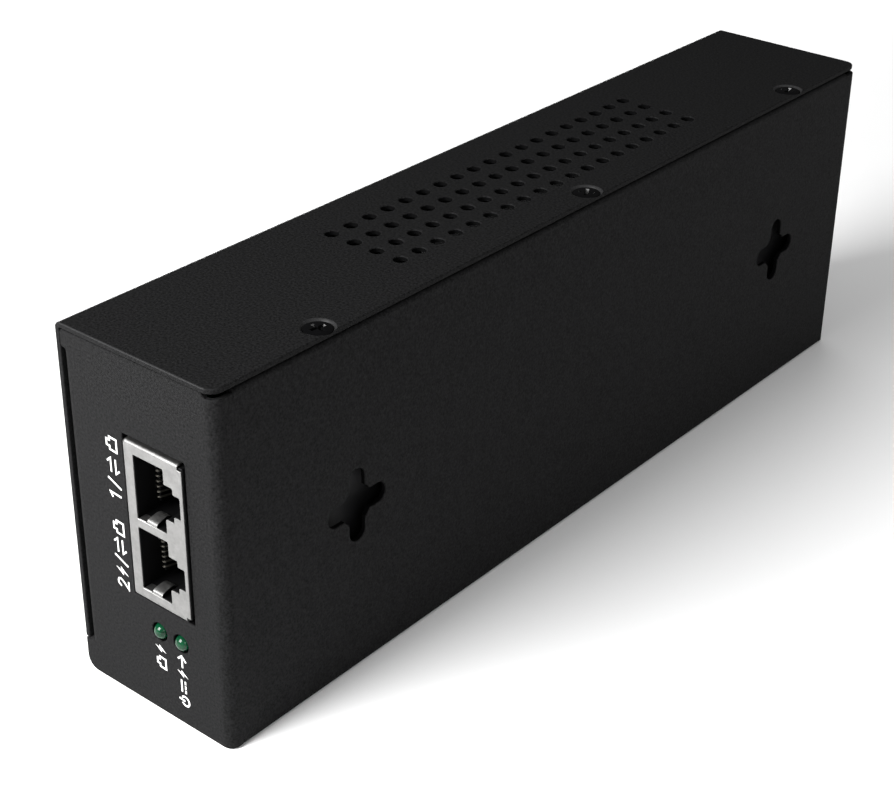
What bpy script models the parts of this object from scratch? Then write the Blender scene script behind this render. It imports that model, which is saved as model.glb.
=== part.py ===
"""PoE injector: a slim folded-steel case with a two-port network jack and a mains inlet.

Frame: +Z up, origin at the middle of the underside. +X is the wall-mount face with the
keyholes, -Y the end with the jack and lights, +Y the end with the mains inlet, +Z the
vented edge. Sizes below are in millimetres and are scaled to metres by MM.
"""
import math

import bmesh
import bpy
from mathutils import Matrix, Vector

MM = 0.001
GAP = 0.3                      # clearance kept between neighbouring pieces

# Case
CASE_X = 37.0                  # thickness
CASE_Y = 200.0                 # length
CASE_Z = 70.0                  # height
SHEET = 1.0
BEND_OUT = 2.2                 # outer radius of the end bends
BEND_SIDE = 1.6                # outer radius of the flange bends
X_OUT = CASE_X / 2
Y_OUT = CASE_Y / 2
X_IN = X_OUT - SHEET
Y_IN = Y_OUT - SHEET
BASE_TOP = CASE_Z - SHEET - GAP
END_PROUD = 1.9                # how far the lights and the inlet stand out of the ends

# Folds of the base around the lid
EAR_LOW = 6.5                  # the end walls are full width below this height
EAR_HIGH = 66.0                # and again above this one
FLANGE_REACH = 10.0
RETURN_X = 9.0

# Cover
VENT_ROWS = 4
VENT_COLUMNS = 19
VENT_DIA = 3.0
VENT_PITCH_X = 5.44
VENT_PITCH_Y = 5.05
VENT_MID_X = 0.58
SCREW_X = 15.5
SCREW_Y = (-73.6, 0.4, 74.6)
CORNER_R = 2.5
COVER_BEND = 1.2               # outer radius of the cover's one bend

# Keyholes for wall screws
KEY_Y = (-68.0, 70.4)
KEY_Z = 34.2
KEY_SPAN = 14.6
KEY_SLOT = 4.0
KEY_EYE = 7.6

# Two-port jack
JACK_X = (-3.35, 10.65)
JACK_Z = (23.3, 53.9)
JACK_FRONT = -Y_OUT - 0.6
JACK_REAR = -79.0
PORT_Z = (31.62, 45.59)
PORT_STEPS = ((-0.85, 6.15), (6.3, 3.3), (8.3, 2.1), (9.9, 0.0))   # x, half-height beyond it
PORT_DEPTH = 14.5
SHIELD = 0.3                   # thickness of the jack's sheet-metal shell

# Sprung contacts in each port, flexing about a bend that runs along Z
COMB_AXIS = (-0.1, -96.0)      # x, y of the bend
COMB_LEAN = 20.0               # degrees the free contacts stand off the wall
CONTACT_COUNT = 8
CONTACT_PITCH = 1.02
CONTACT_LENGTH = 8.6

# Tab that grounds a plug's shield, flexing about an edge that runs along X
SPRING_X = (1.5, 3.9)
SPRING_LEAN = 12.0
SPRING_LENGTH = 6.2

# Status lights
LED_X = (1.8, 7.05)
LED_Z = 17.2
LED_DIA = 3.0

# Circuit board and what holds it
BOARD_X = (10.95, 12.55)
BOARD_Y = 97.0
BOARD_Z = (4.0, 65.0)
POST_Y = 88.0
POST_Z = (10.0, 60.0)
PART_FOOT = BOARD_X[0] - GAP   # x where board-mounted parts begin
FILM_X = (14.6, 15.0)
FILM_Y = 92.0
FILM_Z = (5.0, 64.5)

# Mains inlet
INLET_X = -3.4
INLET_Z = 34.0
INLET_SCREW_PITCH = 40.0
INLET_FLANGE = (11.3, 25.0)    # half sizes in x and z
INLET_SHROUD = (9.9, 13.7)     # of the part that goes through the wall
INLET_CAVITY = (8.3, 12.3)     # of the socket a plug goes into
INLET_BACK = 84.0              # y of the shroud's back face
INLET_FLOOR = 86.0             # y of the socket's floor
PIN_PLACES = {"line": (1.6, 7.0), "neutral": (1.6, -7.0), "earth": (-2.4, 0.0)}
PIN_Y = (80.5, 98.5)
TAG_Y = (76.5, 82.0)           # solder tag behind each pin
PIN_HALF = (2.0, 1.0)
TAG_HALF = (1.6, 0.4)

# Chassis earth point, on the floor beside the inlet
EARTH_X = -10.0
EARTH_Y = 66.0
LUG_THICK = 0.8
LEAD_RADIUS = 1.1


def remove_old_objects():
    for old in list(bpy.data.objects):
        bpy.data.objects.remove(old, do_unlink=True)


def new_collection(name):
    collection = bpy.data.collections.new(name)
    bpy.context.scene.collection.children.link(collection)
    return collection


remove_old_objects()
PARTS = new_collection("poe_injector")
CUTTERS = new_collection("cutters")


def material(name, colour, roughness, metallic=0.0):
    """One Principled material, shared by the pieces of that finish."""
    found = bpy.data.materials.get(name)
    if found:
        return found
    made = bpy.data.materials.new(name)
    made.use_nodes = True
    shader = made.node_tree.nodes["Principled BSDF"]
    shader.inputs["Base Color"].default_value = (*colour, 1.0)
    shader.inputs["Roughness"].default_value = roughness
    shader.inputs["Metallic"].default_value = metallic
    return made


COAT = material("black_powder_coat", (0.035, 0.036, 0.038), 0.6)
PLATED = material("nickel_plate", (0.72, 0.71, 0.69), 0.25, 1.0)
ZINC = material("zinc_steel", (0.60, 0.61, 0.62), 0.35, 1.0)
BLACK_SCREW = material("black_oxide", (0.03, 0.03, 0.03), 0.4, 0.8)
BLACK_PLASTIC = material("black_plastic", (0.02, 0.02, 0.02), 0.45)
GOLD = material("gold_plate", (0.85, 0.62, 0.25), 0.25, 1.0)
GREEN_LENS = material("green_lens", (0.05, 0.55, 0.22), 0.15)
BOARD_GREEN = material("board_laminate", (0.02, 0.16, 0.07), 0.4)
FILM = material("insulating_film", (0.05, 0.05, 0.052), 0.5)
BRASS = material("brass", (0.72, 0.56, 0.26), 0.3, 1.0)
TIN = material("tinned_brass", (0.70, 0.69, 0.66), 0.3, 1.0)
CERAMIC = material("glass_fuse", (0.80, 0.82, 0.82), 0.2)
YELLOW = material("yellow_tape", (0.75, 0.55, 0.05), 0.5)
COPPER = material("enamelled_copper", (0.60, 0.22, 0.08), 0.35, 0.6)
FERRITE = material("ferrite", (0.07, 0.07, 0.075), 0.7)
ALUMINIUM = material("aluminium", (0.65, 0.66, 0.67), 0.4, 1.0)
SLEEVE = material("capacitor_sleeve", (0.03, 0.04, 0.12), 0.35)
EPOXY = material("epoxy_body", (0.03, 0.03, 0.03), 0.5)
BLUE_DISC = material("blue_ceramic", (0.05, 0.16, 0.45), 0.5)
WIRE_BROWN = material("brown_insulation", (0.22, 0.09, 0.03), 0.45)
WIRE_BLUE = material("blue_insulation", (0.03, 0.10, 0.45), 0.45)
WIRE_EARTH = material("green_yellow_insulation", (0.35, 0.50, 0.05), 0.45)


def place(mesh_data, name, mat, centre, helper=False):
    """Wrap mesh or curve data in an object at centre (mm), in the right collection."""
    thing = bpy.data.objects.new(name, mesh_data)
    thing.location = Vector(centre) * MM
    if helper:
        CUTTERS.objects.link(thing)
        thing.hide_render = True
        thing.display_type = "WIRE"
    else:
        PARTS.objects.link(thing)
        mesh_data.materials.append(mat)
    return thing


def mesh_from(name, bm):
    bmesh.ops.recalc_face_normals(bm, faces=bm.faces)
    data = bpy.data.meshes.new(name)
    bm.to_mesh(data)
    bm.free()
    return data


def block(name, mat, x, y, z, helper=False):
    """An axis-aligned box between the given limits."""
    size = [(pair[1] - pair[0]) * MM for pair in (x, y, z)]
    centre = [(pair[0] + pair[1]) / 2 for pair in (x, y, z)]
    bm = bmesh.new()
    bmesh.ops.create_cube(bm, size=1.0)
    bmesh.ops.scale(bm, vec=size, verts=bm.verts)
    return place(mesh_from(name, bm), name, mat, centre, helper)


AXIS_TURN = {
    "X": Matrix.Rotation(math.radians(90), 4, "Y"),
    "Y": Matrix.Rotation(math.radians(-90), 4, "X"),
    "Z": Matrix.Identity(4),
}


def rod(name, mat, centre, axis, radius, length, sides=16, top_radius=None, helper=False):
    """A cylinder or cone about a principal axis; top_radius is at the axis' positive end."""
    bm = bmesh.new()
    end = radius if top_radius is None else top_radius
    bmesh.ops.create_cone(bm, cap_ends=True, segments=sides, radius1=radius * MM,
                          radius2=end * MM, depth=length * MM)
    bmesh.ops.rotate(bm, matrix=AXIS_TURN[axis].to_3x3(), verts=bm.verts)
    thing = place(mesh_from(name, bm), name, mat, centre, helper)
    if not helper:
        thing.data.shade_smooth()
        thing.data.set_sharp_from_angle(angle=math.radians(40))
    return thing


PLANE_TURN = {
    "X": Matrix(((0, 0, 1), (1, 0, 0), (0, 1, 0))).to_4x4(),
    "Y": Matrix(((1, 0, 0), (0, 0, -1), (0, 1, 0))).to_4x4(),
    "Z": Matrix.Identity(4),
}


def outline(name, mat, points, normal, middle, thickness, helper=False, holes=()):
    """A flat outline in the plane square to normal, extruded about middle, as a mesh.

    Points are (y, z) for normal X, (x, z) for normal Y and (x, y) for normal Z.
    """
    curve = bpy.data.curves.new(name, "CURVE")
    curve.dimensions = "2D"
    curve.fill_mode = "BOTH"
    curve.extrude = thickness / 2 * MM
    for loop in (points, *holes):
        spline = curve.splines.new("POLY")
        spline.points.add(len(loop) - 1)
        spline.use_cyclic_u = True
        for point, (first, second) in zip(spline.points, loop):
            point.co = (first * MM, second * MM, 0.0, 1.0)
    drawn = place(curve, name, mat, (0, 0, 0), helper)
    offset = {"X": (middle, 0, 0), "Y": (0, middle, 0), "Z": (0, 0, middle)}[normal]
    drawn.matrix_world = Matrix.Translation(Vector(offset) * MM) @ PLANE_TURN[normal]
    return curve_to_mesh(drawn, mat, helper)


def curve_to_mesh(drawn, mat, helper=False):
    """Swap a curve object for a welded mesh object of the same name and place."""
    bpy.context.view_layer.update()
    evaluated = drawn.evaluated_get(bpy.context.evaluated_depsgraph_get())
    data = bpy.data.meshes.new_from_object(evaluated)
    bm = bmesh.new()
    bm.from_mesh(data)
    bmesh.ops.remove_doubles(bm, verts=bm.verts, dist=0.00001)
    bmesh.ops.recalc_face_normals(bm, faces=bm.faces)
    bm.to_mesh(data)
    bm.free()
    data.materials.clear()
    name = drawn.name
    world = drawn.matrix_world.copy()
    bpy.data.objects.remove(drawn, do_unlink=True)
    thing = place(data, name, mat, (0, 0, 0), helper)
    thing.matrix_world = world
    return thing


def boolean(target, tool, operation):
    change = target.modifiers.new(operation.lower(), "BOOLEAN")
    change.operation = operation
    change.solver = "EXACT"
    change.object = tool


def cut(target, *tools):
    for tool in tools:
        boolean(target, tool, "DIFFERENCE")


def join(target, *tools):
    for tool in tools:
        boolean(target, tool, "UNION")


def round_edges(thing, width, keep, segments=3):
    """Bevel into the mesh the edges whose middle and direction pass keep(middle, direction)."""
    bm = bmesh.new()
    bm.from_mesh(thing.data)
    chosen = []
    for edge in bm.edges:
        ends = [thing.location + vertex.co for vertex in edge.verts]
        middle = (ends[0] + ends[1]) / 2 / MM
        direction = (ends[1] - ends[0]).normalized()
        if keep(middle, direction):
            chosen.append(edge)
    bmesh.ops.bevel(bm, geom=chosen, offset=width * MM, segments=segments,
                    profile=0.5, affect="EDGES", clamp_overlap=True)
    bm.to_mesh(thing.data)
    bm.free()


def soften(thing, width, segments=2):
    """A small live bevel on every edge of a moulded piece."""
    bevel = thing.modifiers.new("bevel", "BEVEL")
    bevel.width = width * MM
    bevel.segments = segments
    bevel.limit_method = "ANGLE"
    bevel.angle_limit = math.radians(50)


def arc(cx, cy, radius, start, end, steps):
    """Points along an arc, angles in degrees, both ends included."""
    points = []
    for step in range(steps + 1):
        angle = math.radians(start + (end - start) * step / steps)
        points.append((cx + radius * math.cos(angle), cy + radius * math.sin(angle)))
    return points


def rounded_rectangle(low, high, radius, steps=4):
    (x0, y0), (x1, y1) = low, high
    points = arc(x1 - radius, y1 - radius, radius, 0, 90, steps)
    points += arc(x0 + radius, y1 - radius, radius, 90, 180, steps)
    points += arc(x0 + radius, y0 + radius, radius, 180, 270, steps)
    points += arc(x1 - radius, y0 + radius, radius, 270, 360, steps)
    return points


def along_z(direction):
    return abs(direction.z) > 0.9


def along_y(direction):
    return abs(direction.y) > 0.9


# ------------------------------------------------------------------ case

def keyhole_outline(cy, cz):
    """A cross of four round-ended slots around a larger eye."""
    half_slot = KEY_SLOT / 2
    eye = KEY_EYE / 2
    reach = KEY_SPAN / 2 - half_slot
    shoulder = math.degrees(math.asin(half_slot / eye))
    points = []
    for quarter in range(4):
        turn = quarter * 90
        cosine = math.cos(math.radians(turn))
        sine = math.sin(math.radians(turn))
        points += arc(cy + reach * cosine, cz + reach * sine, half_slot, turn - 90, turn + 90, 6)
        points += arc(cy, cz, eye, turn + shoulder, turn + 90 - shoulder, 3)
    return points


def port_outline(centre_z, margin=0.0):
    """The stepped opening of one port in (x, z), latch steps towards +X."""
    upper = [(PORT_STEPS[0][0] - margin, PORT_STEPS[0][1] + margin)]
    for (_, half), (step_x, _) in zip(PORT_STEPS, PORT_STEPS[1:]):
        if upper[-1][1] != half + margin:
            upper.append((upper[-1][0], half + margin))
        upper.append((step_x + margin, half + margin))
    lower = [(x, -half) for x, half in reversed(upper)]
    return [(x, centre_z + half) for x, half in upper + lower]


def base_shell():
    """The folded chassis before its openings: four walls and two ends of one sheet."""
    left = -X_IN + GAP
    shell = block("base_chassis", COAT, (left, X_OUT), (-Y_OUT, Y_OUT), (0, BASE_TOP))
    inside = block("base_inside", None, (left + SHEET, X_IN), (-Y_IN, Y_IN),
                   (SHEET, BASE_TOP - SHEET), helper=True)
    for body, shift in ((shell, 0.0), (inside, SHEET)):
        right_x = X_OUT - shift
        left_x = left + shift
        low_z = shift
        round_edges(body, BEND_OUT - shift * 0.9,
                    lambda m, d: along_z(d) and abs(m.x - right_x) < 0.01)
        round_edges(body, BEND_SIDE - shift * 0.9,
                    lambda m, d: along_z(d) and abs(m.x - left_x) < 0.01)
        round_edges(body, BEND_SIDE - shift * 0.9,
                    lambda m, d: along_y(d) and abs(m.x - right_x) < 0.01 and m.z > low_z + 5)
        round_edges(body, BEND_SIDE - shift * 0.9,
                    lambda m, d: along_y(d) and abs(m.x - right_x) < 0.01 and m.z < low_z + 5)
    cut(shell, inside)
    return shell


def open_base(shell):
    """Take away the walls the cover closes, leaving the flanges it sits on."""
    left = -X_OUT - 1
    wall = -X_IN + GAP + SHEET + 0.1
    flange_y = Y_OUT - FLANGE_REACH
    cut(shell,
        block("open_side", None, (left, wall), (-flange_y, flange_y), (SHEET, CASE_Z), True),
        block("open_side_high", None, (left, wall), (-Y_IN, Y_IN), (EAR_HIGH, CASE_Z), True),
        block("open_side_low", None, (left, wall), (-Y_IN, Y_IN), (SHEET, EAR_LOW), True),
        block("open_top", None, (left, RETURN_X), (-Y_IN, Y_IN),
              (BASE_TOP - SHEET - 0.1, CASE_Z), True))
    for end in (-1, 1):
        relief = sorted((end * (Y_OUT - 3.5), end * Y_IN))
        corner = sorted((end * (Y_OUT - 3.5), end * (Y_OUT + 1)))
        cut(shell,
            block("flange_relief", None, (RETURN_X - 1, X_IN), relief,
                  (BASE_TOP - SHEET - 0.1, CASE_Z), True),
            block("corner_relief", None, (X_OUT - 2.0, X_OUT + 1), corner,
                  (BASE_TOP - 0.8, CASE_Z), True))


def add_ears(shell):
    """Flat corners of the end walls above and below the folded flange."""
    left_in = -X_IN + GAP
    for end in (-1, 1):
        corner = arc(-X_OUT + CORNER_R, CORNER_R, CORNER_R, 180, 270, 5)
        low = corner + [(-X_OUT + 8, 0.0), (-X_OUT + 8, EAR_LOW), (-X_OUT, EAR_LOW)]
        high = arc(left_in + 1.0, BASE_TOP - 1.0, 1.0, 90, 180, 3)
        high += [(left_in, EAR_HIGH), (left_in + 4, EAR_HIGH), (left_in + 4, BASE_TOP)]
        for name, points in (("ear_low", low), ("ear_high", high)):
            join(shell, outline(name, None, points, "Y", end * (Y_OUT - SHEET / 2), SHEET, True))


def base_chassis():
    shell = base_shell()
    open_base(shell)
    add_ears(shell)
    for y in KEY_Y:
        cut(shell, outline("keyhole", None, keyhole_outline(y, KEY_Z), "X", X_IN, 4.0, True))
    for y in SCREW_Y:
        join(shell, rod("thread_boss", None, (SCREW_X, y, BASE_TOP - SHEET - 0.6), "Z",
                        2.4, 2.2, 12, helper=True))
        cut(shell, rod("thread_hole", None, (SCREW_X, y, BASE_TOP - SHEET), "Z",
                       1.6, 8.0, 12, helper=True))
    margin = 0.4
    cut(shell, block("jack_window", None, (JACK_X[0] - margin, JACK_X[1] + margin),
                     (-Y_OUT - 2, -Y_IN + 2), (JACK_Z[0] - margin, JACK_Z[1] + margin), True))
    for x in LED_X:
        cut(shell, rod("led_hole", None, (x, -Y_OUT, LED_Z), "Y", 1.8, 6.0, 14, helper=True))
    cut(shell, block("inlet_window", None, (INLET_X - 10.5, INLET_X + 10.5),
                     (Y_IN - 2, Y_OUT + 2), (INLET_Z - 14.3, INLET_Z + 14.3), True))
    for side in (-1, 1):
        z = INLET_Z + side * INLET_SCREW_PITCH / 2
        cut(shell, rod("inlet_screw_hole", None, (INLET_X, Y_OUT, z), "Y",
                       1.9, 6.0, 12, helper=True))
    cut(shell, rod("earth_hole", None, (EARTH_X, EARTH_Y, SHEET / 2), "Z",
                   1.9, 6.0, 12, helper=True))
    return shell


def vent_loops():
    """One small round per vent, in rows along the case."""
    loops = []
    for row in range(VENT_ROWS):
        x = VENT_MID_X + (row - (VENT_ROWS - 1) / 2) * VENT_PITCH_X
        for column in range(VENT_COLUMNS):
            y = (column - (VENT_COLUMNS - 1) / 2) * VENT_PITCH_Y
            loops.append(arc(x, y, VENT_DIA / 2, 18, 342, 9))
    return loops


def cover():
    """The L-shaped lid: a large plain side bent into the vented flange."""
    section = [(-X_OUT, 0.0), (-X_IN, 0.0), (-X_IN, CASE_Z - SHEET), (X_OUT, CASE_Z - SHEET),
               (X_OUT, CASE_Z)]
    section += arc(-X_OUT + COVER_BEND, CASE_Z - COVER_BEND, COVER_BEND, 90, 180, 4)
    lid = outline("cover", COAT, section, "Y", 0.0, CASE_Y)
    notch = EAR_LOW + GAP
    for end in (-1, 1):
        span = sorted((end * (Y_OUT - SHEET - GAP), end * (Y_OUT + 1)))
        cut(lid, block("cover_notch", None, (-X_OUT - 1, -X_IN + 1), span, (-1, notch), True))
        corner = arc(X_OUT - CORNER_R, end * (Y_OUT - CORNER_R), CORNER_R, 0, end * 90, 4)
        corner += [(X_OUT - CORNER_R, end * (Y_OUT + 1)), (X_OUT + 1, end * (Y_OUT + 1)),
                   (X_OUT + 1, end * (Y_OUT - CORNER_R))]
        cut(lid, outline("cover_corner", None, corner, "Z", CASE_Z, 4.0, True))
    punches = vent_loops()
    punches += [arc(SCREW_X, y, 1.6, 15, 345, 11) for y in SCREW_Y]
    cut(lid, outline("vent_punch", None, punches[0], "Z", CASE_Z, 5.0, True, punches[1:]))
    for y in SCREW_Y:
        cut(lid, rod("screw_sink", None, (SCREW_X, y, CASE_Z - 0.65), "Z", 1.65, 1.7, 18,
                     3.55, helper=True))
    return lid


def cover_screw(name, y):
    """A countersunk screw; its head sits just below the cover's face."""
    head_top = CASE_Z - 0.15
    head = rod(name, BLACK_SCREW, (SCREW_X, y, head_top - 0.6), "Z", 1.25, 1.2, 18, 2.75)
    shank = rod(name + "_shank", None, (SCREW_X, y, head_top - 2.8), "Z", 1.25, 4.0, 12,
                helper=True)
    join(head, shank)
    for turn in (0, 90):
        slot = block(name + "_recess", None, (-1.5, 1.5), (-0.3, 0.3), (-0.7, 0.7), True)
        slot.location = Vector((SCREW_X, y, head_top)) * MM
        slot.rotation_euler.z = math.radians(turn + 35)
        cut(head, slot)
    return head


# ------------------------------------------------------------------ board and fixings

def hex_points(first, second, across):
    return arc(first, second, across / 2 / math.cos(math.radians(30)), 0, 300, 5)


def post_places():
    """(y, z) of the four standoffs."""
    return [(y, z) for y in (-POST_Y, POST_Y) for z in POST_Z]


def main_board():
    board = block("main_board", BOARD_GREEN, BOARD_X, (-BOARD_Y, BOARD_Y), BOARD_Z)
    for y, z in post_places():
        cut(board, rod("board_hole", None, (BOARD_X[0], y, z), "X", 1.9, 8.0, 12, helper=True))
    return board


def insulating_film():
    points = rounded_rectangle((-FILM_Y, FILM_Z[0]), (FILM_Y, FILM_Z[1]), 2.0, 2)
    holes = [arc(y, z, 3.5, 15, 345, 11) for y, z in post_places()]
    middle = (FILM_X[0] + FILM_X[1]) / 2
    return outline("insulating_film", FILM, points, "X", middle, FILM_X[1] - FILM_X[0],
                   holes=holes)


def standoff(name, y, z):
    span = (BOARD_X[1] + GAP, X_IN - GAP)
    bore = arc(y, z, 1.8, 15, 345, 9)
    return outline(name, BRASS, hex_points(y, z, 5.5), "X", sum(span) / 2, span[1] - span[0],
                   holes=(bore,))


def board_screw(name, y, z):
    """A pan-head screw through the board into its standoff."""
    head = rod(name, ZINC, (PART_FOOT - 0.9, y, z), "X", 2.3, 1.8, 14, 2.75)
    shank = rod(name + "_shank", None, (PART_FOOT + 2.5, y, z), "X", 1.4, 5.4, 10, helper=True)
    join(head, shank)
    slot = block(name + "_slot", None, (PART_FOOT - 2.8, PART_FOOT - 1.1),
                 (y - 2, y + 2), (z - 0.35, z + 0.35), True)
    cross = block(name + "_cross", None, (PART_FOOT - 2.8, PART_FOOT - 1.1),
                  (y - 0.35, y + 0.35), (z - 2, z + 2), True)
    cut(head, slot, cross)
    return head


# ------------------------------------------------------------------ jack and lights

def jack_shield():
    """The stamped shell: front with two stepped windows, three sides and a back."""
    shell = block("jack_shield", PLATED, JACK_X, (JACK_FRONT, JACK_REAR), JACK_Z)
    inside = block("shield_inside", None, (JACK_X[0] + SHIELD, JACK_X[1] + 2),
                   (JACK_FRONT + SHIELD, JACK_REAR - SHIELD),
                   (JACK_Z[0] + SHIELD, JACK_Z[1] - SHIELD), True)
    cut(shell, inside)
    for z in PORT_Z:
        cut(shell, outline("shield_window", None, port_outline(z), "Y", JACK_FRONT, 3.0, True))
    return shell


def jack_housing():
    """The plastic body with a stepped cavity for each plug."""
    wrap = SHIELD + GAP
    front = JACK_FRONT + wrap
    body = block("jack_housing", BLACK_PLASTIC, (JACK_X[0] + wrap, JACK_X[1]),
                 (front, JACK_REAR - wrap), (JACK_Z[0] + wrap, JACK_Z[1] - wrap))
    for z in PORT_Z:
        cut(body, outline("port_cavity", None, port_outline(z, 0.05), "Y",
                          front + (PORT_DEPTH - 1) / 2, PORT_DEPTH + 1, True))
    return body


def contact_comb(name, centre_z):
    """Eight sprung contacts on one moulded bar; origin on the bend they flex about."""
    x, y = COMB_AXIS
    bar = block(name, GOLD, (x - 0.4, x + 0.5), (y - 0.8, y + 0.5),
                (centre_z - 4.6, centre_z + 4.6))
    bar.data.transform(Matrix.Translation(bar.location - Vector((x, y, centre_z)) * MM))
    bar.location = Vector((x, y, centre_z)) * MM
    for index in range(CONTACT_COUNT):
        z = (index - (CONTACT_COUNT - 1) / 2) * CONTACT_PITCH
        wire = block(name + "_contact", None, (-0.2, 0.2), (-0.3, CONTACT_LENGTH),
                     (-0.2, 0.2), True)
        wire.data.transform(Matrix.Translation(wire.location))
        wire.location = Vector((x, y, centre_z + z)) * MM
        wire.rotation_euler.z = math.radians(-COMB_LEAN)
        join(bar, wire)
    return bar


def ground_spring(name, centre_z):
    """The tab that grounds a plug's shield; origin on the edge it flexes about."""
    pivot = Vector((sum(SPRING_X) / 2, JACK_FRONT + 0.75, centre_z - PORT_STEPS[0][1] + 0.45))
    half = (SPRING_X[1] - SPRING_X[0]) / 2
    side = [(-0.15, -0.12), (SPRING_LENGTH * 0.8, -0.12), (SPRING_LENGTH, -0.5),
            (SPRING_LENGTH, -0.25), (SPRING_LENGTH * 0.8, 0.13), (-0.15, 0.13)]
    tab = outline(name, PLATED, side, "X", 0.0, 2 * half)
    tab.data.transform(tab.matrix_world)
    tab.data.transform(Matrix.Rotation(math.radians(SPRING_LEAN), 4, "X"))
    tab.matrix_world = Matrix.Translation(pivot * MM)
    return tab


def light(name, x):
    """A 3 mm lamp with a domed lens, standing out of its hole."""
    radius = LED_DIA / 2
    tip = -Y_OUT - END_PROUD
    body = rod(name, GREEN_LENS, (x, tip + radius + 3.0, LED_Z), "Y", radius, 6.0, 16)
    dome = bmesh.new()
    bmesh.ops.create_uvsphere(dome, u_segments=16, v_segments=8, radius=radius * MM)
    cap = place(mesh_from(name + "_dome", dome), name + "_dome", None,
                (x, tip + radius, LED_Z), helper=True)
    cap.rotation_euler.x = math.radians(90)
    join(body, cap)
    return body


def light_holder():
    body = block("light_holder", BLACK_PLASTIC, (-1.0, PART_FOOT), (-Y_IN + GAP, -90.5),
                 (LED_Z - 3.3, LED_Z + 3.3))
    for x in LED_X:
        cut(body, rod("light_bore", None, (x, -Y_IN, LED_Z), "Y", 1.8, 10.5, 14, helper=True))
    return body


# ------------------------------------------------------------------ mains inlet

def chamfered_inlet(half_x, half_z, chamfer):
    """Inlet outline in (x, z): a rectangle with both corners on its +X side cut off."""
    return [(INLET_X - half_x, INLET_Z - half_z), (INLET_X + half_x - chamfer, INLET_Z - half_z),
            (INLET_X + half_x, INLET_Z - half_z + chamfer),
            (INLET_X + half_x, INLET_Z + half_z - chamfer),
            (INLET_X + half_x - chamfer, INLET_Z + half_z), (INLET_X - half_x, INLET_Z + half_z)]


def inlet_housing():
    """Flange, shroud and back of a three-pin appliance inlet."""
    flange_y = (Y_OUT + GAP, Y_OUT + END_PROUD)
    half_x, half_z = INLET_FLANGE
    flange = rounded_rectangle((INLET_X - half_x, INLET_Z - half_z),
                               (INLET_X + half_x, INLET_Z + half_z), 4.0, 4)
    body = outline("inlet_housing", BLACK_PLASTIC, flange, "Y", sum(flange_y) / 2,
                   flange_y[1] - flange_y[0])
    shroud = outline("inlet_shroud", None, chamfered_inlet(*INLET_SHROUD, 4.5), "Y",
                     (INLET_BACK + flange_y[1]) / 2, flange_y[1] - INLET_BACK, True)
    cavity = outline("inlet_cavity", None, chamfered_inlet(*INLET_CAVITY, 4.0), "Y",
                     (INLET_FLOOR + Y_OUT + 6) / 2, Y_OUT + 6 - INLET_FLOOR, True)
    join(body, shroud)
    cut(body, cavity)
    for side in (-1, 1):
        z = INLET_Z + side * INLET_SCREW_PITCH / 2
        cut(body, rod("flange_hole", None, (INLET_X, Y_OUT, z), "Y", 1.9, 8.0, 12, helper=True),
            rod("flange_sink", None, (INLET_X, Y_OUT + END_PROUD - 0.6, z), "Y", 1.9, 1.9, 16,
                3.8, helper=True))
    slot_x, slot_z = (half + GAP for half in PIN_HALF)
    for dx, dz in PIN_PLACES.values():
        cut(body, block("pin_slot", None, (INLET_X + dx - slot_x, INLET_X + dx + slot_x),
                        (INLET_BACK - 4, INLET_FLOOR + 4),
                        (INLET_Z + dz - slot_z, INLET_Z + dz + slot_z), True))
    return body


def inlet_pin(name, dx, dz):
    """A flat blade with a narrower solder tag behind the housing."""
    x = INLET_X + dx
    z = INLET_Z + dz
    wide, thick = PIN_HALF
    blade = block(name, TIN, (x - wide, x + wide), PIN_Y, (z - thick, z + thick))
    wide, thick = TAG_HALF
    tag = block(name + "_tag", None, (x - wide, x + wide), TAG_Y, (z - thick, z + thick), True)
    join(blade, tag)
    return blade


def inlet_screw(name, side):
    z = INLET_Z + side * INLET_SCREW_PITCH / 2
    head_y = Y_OUT + END_PROUD - 0.1
    head = rod(name, ZINC, (INLET_X, head_y - 0.65, z), "Y", 1.5, 1.3, 16, 2.9)
    shank = rod(name + "_shank", None, (INLET_X, head_y - 4.2, z), "Y", 1.5, 7.6, 12,
                helper=True)
    join(head, shank)
    for turn in (0, 90):
        slot = block(name + "_recess", None, (-1.5, 1.5), (-0.8, 0.8), (-0.3, 0.3), True)
        slot.location = Vector((INLET_X, head_y, z)) * MM
        slot.rotation_euler.y = math.radians(turn + 20)
        cut(head, slot)
    return head


def inlet_nut(name, side):
    z = INLET_Z + side * INLET_SCREW_PITCH / 2
    bore = arc(INLET_X, z, 1.85, 15, 345, 9)
    y = (Y_IN - GAP - 2.4, Y_IN - GAP)
    return outline(name, ZINC, hex_points(INLET_X, z, 5.5), "Y", sum(y) / 2, y[1] - y[0],
                   holes=(bore,))


def earth_lug():
    """A ring terminal on the chassis floor with a crimped barrel."""
    z = SHEET + GAP + LUG_THICK / 2
    ring = outline("earth_lug", TIN, arc(EARTH_X, EARTH_Y, 3.6, 12, 348, 14), "Z", z, LUG_THICK,
                   holes=(arc(EARTH_X, EARTH_Y, 1.9, 15, 345, 9),))
    barrel = rod("earth_barrel", None, (EARTH_X, EARTH_Y + 6.0, z + 0.9), "Y", 1.3, 5.6, 12,
                 helper=True)
    join(ring, barrel)
    return ring


def earth_screw():
    """The screw that holds the ring terminal, from inside into the chassis floor."""
    head_z = SHEET + GAP + LUG_THICK + GAP
    head = rod("earth_screw", ZINC, (EARTH_X, EARTH_Y, head_z + 0.9), "Z", 2.75, 1.8, 14, 2.3)
    shank = rod("earth_shank", None, (EARTH_X, EARTH_Y, head_z - 0.9), "Z", 1.5, 2.2, 12,
                helper=True)
    join(head, shank)
    return head


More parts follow.
